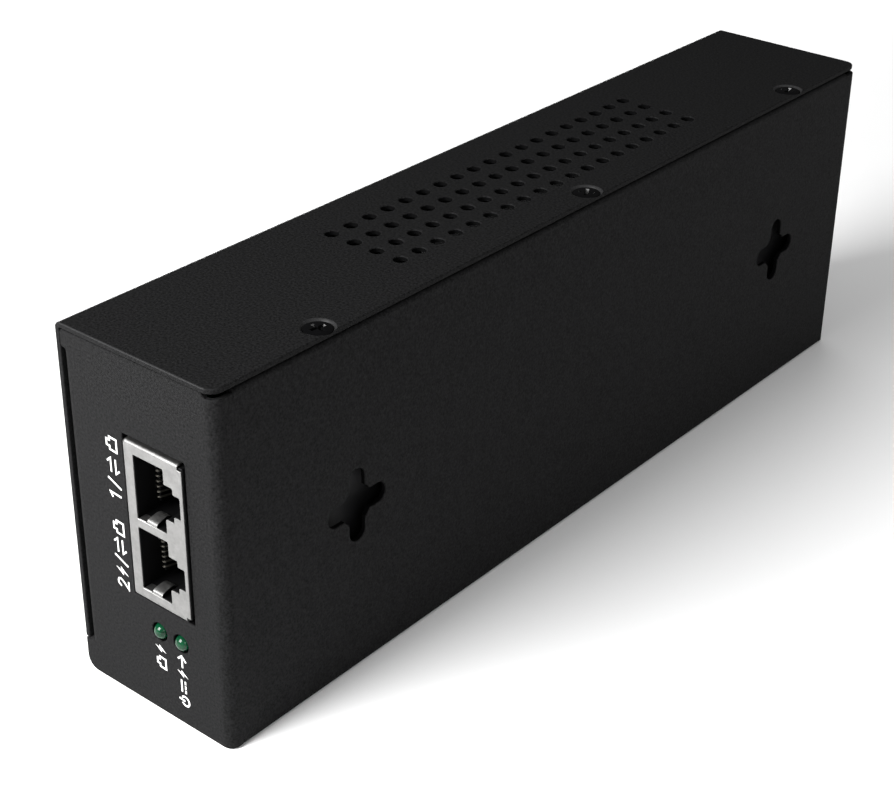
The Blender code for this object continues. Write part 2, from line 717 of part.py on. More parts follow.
def wire(name, mat, points, radius):
    """An insulated lead along a short poly line, as a capped tube."""
    curve = bpy.data.curves.new(name, "CURVE")
    curve.dimensions = "3D"
    curve.bevel_depth = radius * MM
    curve.bevel_resolution = 2
    curve.use_fill_caps = True
    spline = curve.splines.new("POLY")
    route = smooth_route(points)
    spline.points.add(len(route) - 1)
    for point, place_mm in zip(spline.points, route):
        point.co = (*(Vector(place_mm) * MM), 1.0)
    return place(curve, name, mat, (0, 0, 0))


def smooth_route(points, steps=4):
    """Points of a smooth curve through the given ones (Catmull-Rom)."""
    known = [Vector(point) for point in points]
    known = [known[0] * 2 - known[1]] + known + [known[-1] * 2 - known[-2]]
    route = []
    for index in range(1, len(known) - 2):
        before, here, after, beyond = known[index - 1:index + 3]
        for step in range(steps):
            t = step / steps
            route.append(0.5 * ((2 * here) + (after - before) * t
                                + (2 * before - 5 * here + 4 * after - beyond) * t * t
                                + (3 * here - before - 3 * after + beyond) * t ** 3))
    route.append(known[-2])
    return route


def board_lead(name, mat, pin, rise, settle):
    """A lead from a pin's tag to the board, climbing by the two given heights."""
    dx, dz = PIN_PLACES[pin]
    x = INLET_X + dx
    z = INLET_Z + dz
    tag_end = TAG_Y[0] - 0.4
    wire(name, mat, [(x, tag_end, z), (x, 73.0, z), (x + 2.0, 70.5, z + rise),
                     (PART_FOOT - 3.0, 69.5, z + settle[0]),
                     (PART_FOOT - 0.1, 69.5, z + settle[1])], LEAD_RADIUS)


def leads():
    """Leads from the inlet's tags to the board and to the chassis earth point."""
    board_lead("lead_line", WIRE_BROWN, "line", 2.0, (6.0, 6.5))
    board_lead("lead_neutral", WIRE_BLUE, "neutral", -1.0, (-2.0, -2.2))
    x = INLET_X + PIN_PLACES["earth"][0]
    crimp_z = SHEET + GAP + 1.4
    wire("lead_earth", WIRE_EARTH, [(x, TAG_Y[0] - 0.4, INLET_Z), (x, 73.5, INLET_Z - 1.0),
                                    (x - 2.0, 73.5, 24.0), (EARTH_X, 76.5, 12.0),
                                    (EARTH_X, 79.5, 5.0), (EARTH_X, 77.2, crimp_z),
                                    (EARTH_X, 75.2, crimp_z)], LEAD_RADIUS)


# ------------------------------------------------------------------ power parts

def standing_can(name, mat, y, z, radius, height, sides=18):
    """An upright electrolytic capacitor with a rolled groove near its foot."""
    profile = [(radius, height), (radius, 2.4), (radius - 0.5, 1.9), (radius, 1.4), (radius, 0.0)]
    points = [(0.0, height)] + profile + [(0.0, 0.0)]
    bm = bmesh.new()
    ring = [bm.verts.new((r * MM, 0.0, h * MM)) for r, h in points]
    for first, second in zip(ring, ring[1:]):
        bm.edges.new((first, second))
    data = bpy.data.meshes.new(name)
    bm.to_mesh(data)
    bm.free()
    can = place(data, name, mat, (PART_FOOT, y, z))
    screw = can.modifiers.new("turn", "SCREW")
    screw.steps = sides
    screw.render_steps = sides
    screw.use_merge_vertices = True
    screw.merge_threshold = 0.00001
    can.rotation_euler.y = math.radians(-90)
    return can


def board_block(name, mat, height, y, z, rounding=0.0):
    """A block standing the given height off the board over the given spans."""
    part = block(name, mat, (PART_FOOT - height, PART_FOOT), y, z)
    if rounding:
        soften(part, rounding)
    return part


def choke(y, z):
    """A toroidal common-mode choke: a core ring and two windings."""
    x = PART_FOOT - 5.5
    core = {"outer": 8.6, "inner": 5.2, "width": 7.0}
    coil = {"outer": 9.9, "inner": 3.9, "width": 9.6}
    outline("choke_core", FERRITE, arc(y, z, core["outer"], 10, 350, 17), "X", x, core["width"],
            holes=(arc(y, z, core["inner"], 15, 345, 11),))
    for side, name in ((0, "choke_winding_a"), (180, "choke_winding_b")):
        points = arc(y, z, coil["outer"], side + 30, side + 150, 8)
        points += arc(y, z, coil["inner"], side + 150, side + 30, 8)
        winding = outline(name, COPPER, points, "X", x, coil["width"])
        hollow = arc(y, z, core["outer"] + GAP, side + 20, side + 160, 9)
        hollow += arc(y, z, core["inner"] - GAP, side + 160, side + 20, 9)
        cut(winding, outline(name + "_hollow", None, hollow, "X", x,
                             core["width"] + 2 * GAP, True))


def transformer(y, z):
    """A flat-cored transformer: bobbin with its winding, and the two core halves as one."""
    x = (PART_FOOT - 21.0, PART_FOOT)
    leg = 4.3
    winding = block("transformer_winding", YELLOW, (x[0] + 3.0, x[1] - 3.0),
                    (y - 12.0, y + 12.0), (z - 9.0, z + 9.0))
    soften(winding, 1.5)
    bore = leg + GAP
    cut(winding, block("winding_hole", None, (x[0] - 2, x[1] + 2), (y - bore, y + bore),
                       (z - bore, z + bore), True))
    core = block("transformer_core", FERRITE, x, (y - leg, y + leg), (z - 13.5, z + 13.5))
    for side in (-1, 1):
        span = sorted((z + side * leg, z + side * 9.8))
        cut(core, block("core_window", None, (x[0] + 2.7, x[1] - 2.7), (y - 6, y + 6),
                        span, True))


def power_parts():
    """Everything on the board between the inlet and the jack."""
    board_block("fuse_holder", BLACK_PLASTIC, 3.0, (63.0, 71.0), (50.5, 62.5))
    rod("fuse", CERAMIC, (PART_FOOT - 6.2, 67.0, 56.5), "Z", 2.6, 11.6, 14)
    board_block("x_capacitor", YELLOW, 16.0, (49.0, 59.0), (42.5, 50.5), 0.6)
    choke(56.5, 19.5)
    rod("y_capacitor", BLUE_DISC, (PART_FOOT - 5.0, 70.0, 14.0), "Y", 4.0, 3.0, 16)
    board_block("bridge_rectifier", EPOXY, 11.0, (40.0, 44.0), (38.0, 53.0), 0.3)
    standing_can("bulk_capacitor", SLEEVE, 37.0, 18.5, 9.0, 25.0)
    board_block("primary_heatsink", ALUMINIUM, 20.0, (24.5, 27.0), (14.0, 60.0))
    block("switch_transistor", EPOXY, (PART_FOOT - 17.0, PART_FOOT - 2.0), (19.6, 24.2),
          (45.0, 55.0))
    transformer(4.0, 26.0)
    board_block("secondary_heatsink", ALUMINIUM, 12.0, (-28.0, 14.0), (61.0, 63.5))
    block("output_rectifier", EPOXY, (PART_FOOT - 15.5, PART_FOOT - 0.5), (-20.0, -10.0),
          (56.1, 60.7))
    standing_can("output_capacitor_1", SLEEVE, -26.0, 15.0, 5.0, 20.0, 16)
    standing_can("output_capacitor_2", SLEEVE, -26.0, 28.0, 5.0, 20.0, 16)
    board_block("optocoupler", EPOXY, 3.5, (-2.0, 2.6), (44.0, 50.5))
    board_block("controller_chip", EPOXY, 1.6, (-48.0, -42.0), (38.0, 46.0))
    for number, z in zip((1, 2), PORT_Z):
        board_block("line_transformer_%d" % number, EPOXY, 6.0, (-71.0, -57.0),
                    (z - 6.0, z + 6.0))


# ------------------------------------------------------------------ assembly

def build():
    base_chassis()
    cover()
    for name, y in zip(("front", "middle", "rear"), SCREW_Y):
        cover_screw("cover_screw_" + name, y)
    main_board()
    insulating_film()
    for number, (y, z) in enumerate(post_places(), 1):
        standoff("standoff_%d" % number, y, z)
        board_screw("board_screw_%d" % number, y, z)
    jack_shield()
    jack_housing()
    for name, z in zip(("lower", "upper"), PORT_Z):
        contact_comb("contacts_" + name, z)
        ground_spring("ground_spring_" + name, z)
    light("light_output", LED_X[0])
    light("light_power", LED_X[1])
    light_holder()
    inlet_housing()
    for name, (dx, dz) in PIN_PLACES.items():
        inlet_pin("inlet_pin_" + name, dx, dz)
    for name, side in (("lower", -1), ("upper", 1)):
        inlet_screw("inlet_screw_" + name, side)
        inlet_nut("inlet_nut_" + name, side)
    earth_lug()
    earth_screw()
    leads()
    power_parts()


build()
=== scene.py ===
"""Looks of the PoE injector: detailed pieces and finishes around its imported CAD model.

Shapes are drawn in millimetres in the row's frame, and scaled to metres when they
become pieces. +X is the wall-mount face, -Y the end with the jack, +Z the vented edge.
"""
import math
from collections import namedtuple

import bmesh
import bpy
from mathutils import Matrix, Vector


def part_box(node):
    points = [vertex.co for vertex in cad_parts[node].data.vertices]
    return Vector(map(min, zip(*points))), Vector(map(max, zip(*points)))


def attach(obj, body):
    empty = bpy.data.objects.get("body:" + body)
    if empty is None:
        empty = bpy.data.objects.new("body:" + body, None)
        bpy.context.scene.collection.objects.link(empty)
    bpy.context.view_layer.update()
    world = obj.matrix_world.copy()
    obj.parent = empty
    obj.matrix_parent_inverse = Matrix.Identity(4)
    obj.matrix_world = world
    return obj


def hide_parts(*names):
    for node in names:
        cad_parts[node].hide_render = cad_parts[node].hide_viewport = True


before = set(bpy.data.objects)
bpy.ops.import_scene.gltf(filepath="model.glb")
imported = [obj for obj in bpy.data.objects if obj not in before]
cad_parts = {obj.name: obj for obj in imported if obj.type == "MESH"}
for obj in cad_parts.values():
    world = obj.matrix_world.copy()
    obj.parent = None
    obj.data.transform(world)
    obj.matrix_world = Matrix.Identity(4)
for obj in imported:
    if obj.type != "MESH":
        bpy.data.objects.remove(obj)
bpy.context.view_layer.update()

MM = 0.001


def limits(node):
    """A CAD node's lowest and highest corners in millimetres."""
    low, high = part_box(node)
    return low / MM, high / MM


# ---------- sizes (mm)

X_OUT, Y_OUT, TOP = limits("cover")[1]
BASE_TOP = limits("base_chassis")[1].z
SHEET = 1.0
GAP = 0.3                      # clearance between neighbouring parts
BASE_LEFT = -17.2
WALL_LEFT = -17.45             # side edge of an end wall above its return flange
WALL_TOP = BASE_TOP + 0.2      # top edge of an end wall, close under the cover
SHEET_EDGE = 0.14              # rounding of every cut edge of the case's sheet
BEND_STEPS = 8

END_BEND = 2.2
SIDE_BEND = 0.8
LOW_EASE = 1.2                 # heights over which the side flanges ease into their bend
HIGH_EASE = 2.4
LIP_BEND = 1.6
COVER_BEND = 1.2
COVER_FREE = 18.25             # free edge of the cover's top flange
COVER_EDGE = 0.2
EAR_LOW = 6.5
EAR_HIGH = 66.0
FLANGE_REACH = 10.0
RETURN_X = 9.0
SLIT = 0.06                    # width of the cuts beside the bends
FLOOR_END = 98.9
FLOOR_SLIT = 97.3              # where the bottom bend stops, short of each corner
TOP_SLIT = 95.7
CORNER_GAP = 0.55              # height of the opening under the cover's free corners
LIP_CLEAR = 0.05               # between a return flange's end and the ease of its bend
BEND_CUT = 0.3                 # how far the corner cuts run past the bends
MARGIN_START = -0.2            # height under which the flat pattern is bottom margin
WALL_INSIDE = -98.8            # y of a plane just inside the jack's end wall
JACK_MARGIN = (0.5, 0.3)       # around the jack: left, top and bottom; right
LED_HOLE = 1.8                 # radii of round holes, here and below
SCREW_HOLE = 1.9
THREAD_HOLE = 1.6
FILM_HOLE = 3.4

VENT_ROWS = 4
VENT_COLUMNS = 19
VENT_DIA = 2.65
VENT_PITCH_X = 5.44
VENT_PITCH_Y = 5.05
VENT_MID_X = 0.58
VENT_ZONE = (11.0, 49.0)       # the vents lie within this |x| and |y|
SCREW_X = 15.5
SCREW_Y = (-73.6, 0.4, 74.6)
SCREW_HEAD_TOP = limits("cover_screw_front")[1].z
SINK_RADIUS = 3.05

KEY_Y = (-68.0, 70.4)
KEY_Z = 34.2
KEY_SPAN = 14.6
KEY_SLOT = 4.0
KEY_EYE = 7.6
KEY_ZONE = (90.0, 20.0, 50.0)  # the keyholes lie within this |y|, and between these z

JACK_LOW, JACK_HIGH = limits("jack_shield")
PORT_Z = (31.62, 45.59)
PORT_STEPS = ((-0.85, 6.15), (6.3, 3.3), (8.3, 2.1), (9.9, 0.0))
PORT_DEPTH = 14.5
SHIELD = 0.3
SHIELD_EDGE = 0.07
SHIELD_BEND = 0.7
SHIELD_NOTCH = 0.95            # cut from the shell's open corners
CONTACT_PITCH = 1.02
CONTACT_AXIS = (-0.1, -96.0)   # x and y of the bend that a port's contacts flex about
RIB_START = 9.0                # depth in a port at which the ribs between contacts begin
SPRING_HALF = 1.2
SPRING_THICK = 0.2
LED_X = (1.8, 7.05)
LED_Z = 17.2
LED_RADIUS = 1.5
LED_SUNK = 1.15                # the dome barely stands out of its hole
INLET_X = -3.4
INLET_Z = 34.0
INLET_SCREW_PITCH = 40.0
INLET_OPENING = (10.5, 14.3)   # half sizes in x and z of the opening in the end wall
INLET_FLANGE = (11.3, 25.0)    # half sizes in x and z
INLET_CAVITY = (12.3, 8.3, 4.0, 0.6)     # half size in z and x, chamfer, radius
INLET_RIM = (13.3, 9.3, 4.3, 0.9)
INLET_SHROUD = (13.7, 9.9, 4.5, 1.0)
INLET_FLOOR = 86.0             # y of the bottom of the inlet's cavity
BLADE_ROOT = 80.5
BLADE_HALF = (2.0, 1.0)
TAG_Y = (76.5, 81.0)
TAG_HALF = 1.6
TAG_THICK = 0.8
TAG_HOLE = (78.4, 0.7)         # y and radius


# ---------- outlines

def arc(cx, cy, radius, start, end, steps):
    """Points along an arc, angles in degrees, both ends included."""
    points = []
    for step in range(steps + 1):
        angle = math.radians(start + (end - start) * step / steps)
        points.append((cx + radius * math.cos(angle), cy + radius * math.sin(angle)))
    return points


def circle(cx, cy, radius, steps=32, turn=0.0):
    """A round outline that starts turn radians round from +x."""
    return [(cx + radius * math.cos(turn + 2 * math.pi * step / steps),
             cy + radius * math.sin(turn + 2 * math.pi * step / steps))
            for step in range(steps)]


def rounded(corners, steps=4):
    """A closed outline through corners (x, y, radius), each rounded by its radius."""
    outline = []
    for index, (x, y, radius) in enumerate(corners):
        if radius <= 0:
            outline.append((x, y))
            continue
        corner = Vector((x, y))
        back = Vector(corners[index - 1][:2]) - corner
        ahead = Vector(corners[(index + 1) % len(corners)][:2]) - corner
        half = back.angle(ahead) / 2
        reach = min(radius / math.tan(half), back.length / 2, ahead.length / 2)
        radius = reach * math.tan(half)
        middle = (back.normalized() + ahead.normalized()).normalized()
        centre = corner + middle * radius / math.sin(half)
        first = corner + back.normalized() * reach - centre
        last = corner + ahead.normalized() * reach - centre
        start = math.atan2(first.y, first.x)
        turn = math.atan2(last.y, last.x) - start
        turn = (turn + math.pi) % (2 * math.pi) - math.pi
        for step in range(steps + 1):
            angle = start + turn * step / steps
            outline.append((centre.x + radius * math.cos(angle),
                            centre.y + radius * math.sin(angle)))
    return outline


def box_outline(x, y, radius=0.0, steps=4):
    return rounded([(x[0], y[0], radius), (x[1], y[0], radius), (x[1], y[1], radius),
                    (x[0], y[1], radius)], steps)


def mirrored(half):
    """A closed outline from its right half (x, y, radius), mirrored in x."""
    return half + [(-x, y, radius) for x, y, radius in reversed(half)]


# ---------- meshes

def add_object(name, data):
    thing = bpy.data.objects.new(name, data)
    bpy.context.scene.collection.objects.link(thing)
    return thing


def face_outwards(bm):
    """Turn the faces of one closed solid outwards."""
    bmesh.ops.recalc_face_normals(bm, faces=bm.faces)
    if bm.calc_volume(signed=True) < 0:
        bmesh.ops.reverse_faces(bm, faces=bm.faces)
    return bm


def sheet(loops, thickness, edge, rings=1):
    """A flat sheet between z = -thickness and 0: an outline, holes, and rounded edges."""
    curve = bpy.data.curves.new("sheet", "CURVE")
    curve.dimensions = "2D"
    curve.fill_mode = "BOTH"
    curve.extrude = thickness / 2 - edge
    curve.bevel_depth = edge
    curve.bevel_resolution = rings - 1
    curve.offset = -edge
    for loop in loops:
        spline = curve.splines.new("POLY")
        spline.points.add(len(loop) - 1)
        spline.use_cyclic_u = True
        for point, (x, y) in zip(spline.points, loop):
            point.co = (x, y, 0.0, 1.0)
    bm = from_curve(curve)
    bmesh.ops.translate(bm, vec=(0, 0, -thickness / 2), verts=bm.verts)
    return bm


def from_curve(curve):
    """The mesh of a curve, which is then thrown away."""
    drawn = add_object("drawn", curve)
    bpy.context.view_layer.update()
    evaluated = drawn.evaluated_get(bpy.context.evaluated_depsgraph_get())
    data = bpy.data.meshes.new_from_object(evaluated)
    bm = bmesh.new()
    bm.from_mesh(data)
    bmesh.ops.remove_doubles(bm, verts=bm.verts, dist=0.002)
    bpy.data.meshes.remove(data)
    bpy.data.objects.remove(drawn)
    bpy.data.curves.remove(curve)
    return bm


def slab(normal, face, thickness, loops, edge, rings=1):
    """A flat sheet square to normal, such as "-Y", with its outer face at face.

    Loops are in (y, z), (x, z) or (x, y) of the row's frame.
    """
    bm = sheet(loops, thickness, edge, rings)
    side = 1 if normal[0] == "+" else -1
    for vert in bm.verts:
        u, v, out = vert.co
        along = face + side * out
        vert.co = {"X": (along, u, v), "Y": (u, along, v), "Z": (u, v, along)}[normal[1]]
    return face_outwards(bm)


def lathe(profile, axis, centre, steps=32):
    """A profile of (radius, position along axis) turned about an axis through centre."""
    bm = bmesh.new()
    rings = []
    for radius, along in profile:
        ring = []
        for step in range(steps if radius > 0 else 1):
            angle = 2 * math.pi * step / steps
            first, second = radius * math.cos(angle), radius * math.sin(angle)
            place = {"X": (along, first, second), "Y": (second, along, first),
                     "Z": (first, second, along)}[axis]
            ring.append(bm.verts.new(Vector(place) + Vector(centre)))
        rings.append(ring)
    for low, high in zip(rings, rings[1:]):
        for step in range(steps):
            corners = [low[step % len(low)], low[(step + 1) % len(low)],
                       high[(step + 1) % len(high)], high[step % len(high)]]
            unique = list(dict.fromkeys(corners))
            if len(unique) > 2:
                bm.faces.new(unique)
    bmesh.ops.remove_doubles(bm, verts=bm.verts, dist=0.0005)
    return face_outwards(bm)


def tube(points, radius):
    """A round wire through the given points, with closed ends."""
    curve = bpy.data.curves.new("tube", "CURVE")
    curve.dimensions = "3D"
    curve.bevel_depth = radius
    curve.bevel_resolution = 3
    curve.use_fill_caps = True
    spline = curve.splines.new("POLY")
    route = smooth_route(points, 3)
    spline.points.add(len(route) - 1)
    for point, place in zip(spline.points, route):
        point.co = (*place, 1.0)
    return from_curve(curve)


def smooth_route(points, steps):
    """Points of a smooth curve through the given ones (Catmull-Rom)."""
    known = [Vector(point) for point in points]
    known = [known[0] * 2 - known[1]] + known + [known[-1] * 2 - known[-2]]
    route = []
    for index in range(1, len(known) - 2):
        before, here, after, beyond = known[index - 1:index + 3]
        for step in range(steps):
            t = step / steps
            route.append(0.5 * ((2 * here) + (after - before) * t
                                + (2 * before - 5 * here + 4 * after - beyond) * t * t
                                + (3 * here - before - 3 * after + beyond) * t ** 3))
    route.append(known[-2])
    return route


def gather(*parts):
    """One mesh from (mesh, material index) parts; None keeps a mesh's own indices."""
    whole = bmesh.new()
    for bm, index in parts:
        for bm_face in bm.faces:
            bm_face.material_index = bm_face.material_index if index is None else index
        data = bpy.data.meshes.new("part")
        bm.to_mesh(data)
        bm.free()
        whole.from_mesh(data)
        bpy.data.meshes.remove(data)
    return whole


def carve(bm, *cutters):
    """The mesh less its cutters, by exact booleans."""
    target = temporary(bm)
    tools = [temporary(cutter) for cutter in cutters]
    for tool in tools:
        change = target.modifiers.new("cut", "BOOLEAN")
        change.operation = "DIFFERENCE"
        change.solver = "EXACT"
        change.object = tool
    bpy.context.view_layer.update()
    evaluated = target.evaluated_get(bpy.context.evaluated_depsgraph_get())
    data = bpy.data.meshes.new_from_object(evaluated)
    cut = bmesh.new()
    cut.from_mesh(data)
    bpy.data.meshes.remove(data)
    for thing in (target, *tools):
        bpy.data.objects.remove(thing)
    return cut


def temporary(bm):
    data = bpy.data.meshes.new("temporary")
    bm.to_mesh(data)
    bm.free()
    return add_object("temporary", data)


FLAT_AREA = 1.0e-4             # square metres; wider faces are flat and shaded flat


def piece(name, bm, finishes, body, slot, *replaced, crease=30):
    """A finished piece from geometry drawn in millimetres in the row's frame."""
    bmesh.ops.scale(bm, vec=(MM, MM, MM), verts=bm.verts)
    data = bpy.data.meshes.new(name)
    bm.to_mesh(data)
    bm.free()
    for finish in finishes:
        data.materials.append(finish)
    data.shade_smooth()
    data.set_sharp_from_angle(angle=math.radians(crease))
    for polygon in data.polygons:
        polygon.use_smooth = polygon.area < FLAT_AREA
    thing = add_object(name, data)
    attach(thing, body)
    if replaced:
        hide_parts(*replaced)
    return thing


# ---------- folding

Bend = namedtuple("Bend", "axis side edge radius covers lip", defaults=(None, None))
Lip = namedtuple("Lip", "low high run radius low_ease high_ease")


def wrap(past, depth, radius, lip=None, swing=0.0):
    """Depth and offset of a point past the start of a bend.

    depth is its distance under the sheet's outer face; the offset is from the
    folded edge. A lip bends the margin a second time, by swing, after a straight run.
    """
    turn = past / radius
    if turn < math.pi / 2:
        inner = max(radius - depth, 0.02)
        return radius - inner * math.cos(turn), radius - inner * math.sin(turn)
    past -= radius * math.pi / 2
    if lip is None or past < lip.run:
        return radius + past, depth
    past -= lip.run
    turn = min(past / lip.radius, swing)
    inner = lip.radius - depth
    beyond = past - lip.radius * turn
    return (radius + lip.run + inner * math.sin(turn) + beyond * math.cos(turn),
            lip.radius - inner * math.cos(turn) + beyond * math.sin(turn))


def lip_swing(lip, v):
    """How far a lip is bent at height v: it eases in at both of its ends."""
    share = min((v - lip.low) / lip.low_ease, (lip.high - v) / lip.high_ease)
    share = min(max(share, 0.0), 1.0)
    return share * share * (3 - 2 * share) * math.pi / 2


def flat(bend, depth):
    """Where a point this deep on a folded margin lies in the flat pattern."""
    length = bend.edge - 2 * bend.radius + bend.radius * math.pi / 2 + depth
    return bend.side * length


def bend_lines(bend):
    """Where a flat sheet needs edges to take one bend."""
    quarter = bend.radius * math.pi / 2
    starts = [(bend.edge - bend.radius, quarter)]
    if bend.lip:
        start = bend.edge - bend.radius + quarter + bend.lip.run
        starts.append((start, bend.lip.radius * math.pi / 2))
    lines = []
    for start, length in starts:
        lines += [start + length * step / BEND_STEPS
                  for step in (-0.5, *range(BEND_STEPS + 1), BEND_STEPS + 0.5)]
    return [bend.side * line for line in lines]


def slice_at(bm, axis, lines):
    normal = Vector((1, 0, 0) if axis == 0 else (0, 1, 0))
    for line in lines:
        bmesh.ops.bisect_plane(bm, geom=bm.verts[:] + bm.edges[:] + bm.faces[:],
                               dist=0.0001, plane_co=normal * line, plane_no=normal)


def fold(bm, bends, place):
    """Fold a flat sheet's margins; place(u, v, depth) puts the result in the frame."""
    for bend in bends:
        slice_at(bm, bend.axis, bend_lines(bend))
        if bend.lip and bend.side > 0:
            lip = bend.lip
            slice_at(bm, 1 - bend.axis,
                     [lip.low + lip.low_ease * step / 5 for step in range(6)])
            slice_at(bm, 1 - bend.axis,
                     [lip.high - lip.high_ease * step / 6 for step in range(7)])
    for vert in bm.verts:
        vert.co = place(*folded(vert.co, bends))
    return face_outwards(bm)


def folded(flat_place, bends):
    u, v, out = flat_place
    spot = [u, v]
    active = {}
    for bend in bends:
        past = bend.side * spot[bend.axis] - (bend.edge - bend.radius)
        if past > 0 and (bend.covers is None or bend.covers(u, v)):
            active[bend.axis] = (bend, past)
    if not active:
        return u, v, -out
    past = math.hypot(*(found[1] for found in active.values()))
    radius = next(iter(active.values()))[0].radius
    lip = next(iter(active.values()))[0].lip
    swing = lip_swing(lip, v) if lip else 0.0
    depth, offset = wrap(past, -out, radius, lip, swing)
    for axis, (bend, own) in active.items():
        reach = bend.edge - radius + (radius - offset) * own / past
        spot[axis] = bend.side * reach
    return spot[0], spot[1], depth


# ---------- finishes

NOISE_MIDDLE = (0.3, 0.7)      # where nearly all of a noise texture's values lie


def fill_in(shader_node, **values):
    """Set a node's inputs; _ in a name stands for a space."""
    for key, value in values.items():
        shader_node.inputs[key.replace("_", " ")].default_value = value
    return shader_node


def node(tree, kind, **values):
    return fill_in(tree.nodes.new("ShaderNode" + kind), **values)


def noise(tree, coordinates, scale, detail=2.0, roughness=0.5):
    made = node(tree, "TexNoise", Scale=scale, Detail=detail, Roughness=roughness)
    tree.links.new(coordinates, made.inputs["Vector"])
    return made.outputs["Fac"]


def ramp(tree, factor, low, high):
    """A colour ramp between two colours over the factor's middle range."""
    made = node(tree, "ValToRGB")
    first, last = made.color_ramp.elements
    first.position, last.position = NOISE_MIDDLE
    first.color = (*low, 1.0)
    last.color = (*high, 1.0)
    tree.links.new(factor, made.inputs["Fac"])
    return made.outputs["Color"]


def spread(tree, factor, low, high):
    """The factor's middle range stretched to low..high."""
    start, end = NOISE_MIDDLE
    made = node(tree, "MapRange", From_Min=start, From_Max=end, To_Min=low, To_Max=high)
    tree.links.new(factor, made.inputs["Value"])
    return made.outputs["Result"]


def finish(name, colour, roughness, grain, metallic=0.0, specular=0.5, vary=0.12, patch=60.0,
           bump=0.2, depth=0.00003, stretch=(1, 1, 1), shift=0.06, **sockets):
    """A finish with colour patches, uneven gloss and a fine bump.

    grain and patch are the noise scales per metre of the bump and of the colour;
    stretch draws the grain out along an axis, as brushing or drawing does.
    """
    made = bpy.data.materials.new(name)
    made.use_nodes = True
    tree = made.node_tree
    shader = fill_in(tree.nodes["Principled BSDF"], Metallic=metallic,
                     Specular_IOR_Level=specular, **sockets)
    place = node(tree, "TexCoord").outputs["Object"]
    scaled = node(tree, "Mapping", Scale=stretch)
    tree.links.new(place, scaled.inputs["Vector"])
    place = scaled.outputs["Vector"]
    dark = [channel * (1 - vary) for channel in colour]
    light = [min(channel * (1 + vary), 1.0) for channel in colour]
    patches = noise(tree, place, patch, 4.0, 0.6)
    tree.links.new(ramp(tree, patches, dark, light), shader.inputs["Base Color"])
    fine = noise(tree, place, grain, 3.0, 0.6)
    gloss = spread(tree, noise(tree, place, patch * 3, 3.0), roughness - shift,
                   roughness + shift)
    tree.links.new(gloss, shader.inputs["Roughness"])
    relief = node(tree, "Bump", Strength=bump, Distance=depth)
    tree.links.new(fine, relief.inputs["Height"])
    tree.links.new(relief.outputs["Normal"], shader.inputs["Normal"])
    return made


COAT = finish("powder_coat", (0.0090, 0.0090, 0.0092), 0.55, 2600.0, specular=0.03,
              bump=0.55, depth=0.00005, vary=0.64, patch=2300.0, shift=0.05)
# A lighter, glossier coat on the cover's rounded end rims and the sinks' rims: painted
# highlight.
COAT_HIGHLIGHT = finish("powder_coat_painted_highlight", (0.017, 0.017, 0.0174), 0.45, 2600.0,
                   specular=0.12, bump=0.5, depth=0.00005, vary=0.3, patch=2600.0)
# A darker coat for the walls of holes, the groove and the notch: painted shade.
COAT_SHADE = finish("powder_coat_painted_shade", (0.0025, 0.0025, 0.0026), 0.6, 2600.0,
                   specular=0.02, bump=0.4, vary=0.3, patch=2300.0)
NICKEL = finish("nickel_stamping", (0.222, 0.22, 0.216), 0.42, 1800.0, metallic=1.0,
                bump=0.25, depth=0.00003, vary=0.12, patch=700.0)
ZINC = finish("zinc_plate", (0.55, 0.56, 0.57), 0.35, 2500.0, metallic=1.0, bump=0.2,
              depth=0.00002, vary=0.08, patch=400.0)
OXIDE = finish("black_oxide_steel", (0.0022, 0.0022, 0.0024), 0.45, 3000.0, specular=0.04,
               bump=0.25, depth=0.00002, patch=500.0)
# A lighter steel for the ends of the screws' cross recesses: driver wear, and painted glints.
WEAR_AND_GLINT = finish("worn_steel_painted_glint", (0.1, 0.1, 0.099), 0.4, 3000.0, specular=0.3, bump=0.2,
              depth=0.00001, patch=900.0)
MOULDED = finish("moulded_black", (0.003, 0.003, 0.0032), 0.5, 2600.0, specular=0.08,
                 bump=0.15, depth=0.00002, patch=300.0)
GLOSSY = finish("moulded_inlet", (0.014, 0.014, 0.015), 0.32, 1500.0, specular=0.45,
                bump=0.12, depth=0.00003, patch=250.0)
GOLD = finish("contact_gold", (0.138, 0.132, 0.113), 0.34, 4000.0, metallic=1.0, bump=0.1,
              depth=0.00001, vary=0.06, patch=800.0)
LENS = finish("lens_green", (0.001, 0.036, 0.013), 0.1, 900.0, specular=0.24, bump=0.03,
              depth=0.00002, vary=0.5, patch=900.0, shift=0.03, Transmission_Weight=0.12)
INK = finish("screen_print", (0.78, 0.78, 0.77), 0.5, 6000.0, bump=0.15, depth=0.00001,
             vary=0.05, patch=1500.0)
BOARD = finish("board_mask", (0.015, 0.11, 0.05), 0.35, 2500.0, vary=0.3, patch=350.0)
FILM = finish("film_sheet", (0.0085, 0.0085, 0.009), 0.5, 900.0, specular=0.12, bump=0.15,
              depth=0.00005, patch=120.0)
BRASS = finish("turned_brass", (0.66, 0.50, 0.24), 0.32, 2500.0, metallic=1.0,
               stretch=(8, 1, 1))
TIN = finish("tinned_metal", (0.62, 0.61, 0.59), 0.35, 2500.0, metallic=1.0)
GLASS = finish("fuse_tube", (0.70, 0.72, 0.72), 0.15, 900.0, vary=0.06)
YELLOW = finish("yellow_wrap", (0.62, 0.45, 0.05), 0.45, 700.0, stretch=(1, 1, 6))
COPPER = finish("magnet_wire", (0.50, 0.18, 0.06), 0.3, 1200.0, metallic=0.7,
                stretch=(1, 3, 1))
FERRITE = finish("pressed_ferrite", (0.05, 0.05, 0.054), 0.65, 3500.0, bump=0.4)
ALUMINIUM = finish("mill_aluminium", (0.60, 0.61, 0.62), 0.38, 1500.0, metallic=1.0,
                   stretch=(1, 1, 10), bump=0.25)
SLEEVE = finish("shrunk_sleeve", (0.02, 0.025, 0.06), 0.3, 500.0, bump=0.1)
EPOXY = finish("moulded_package", (0.025, 0.025, 0.026), 0.5, 4000.0, bump=0.35)
CERAMIC = finish("dipped_ceramic", (0.04, 0.13, 0.38), 0.35, 1200.0)
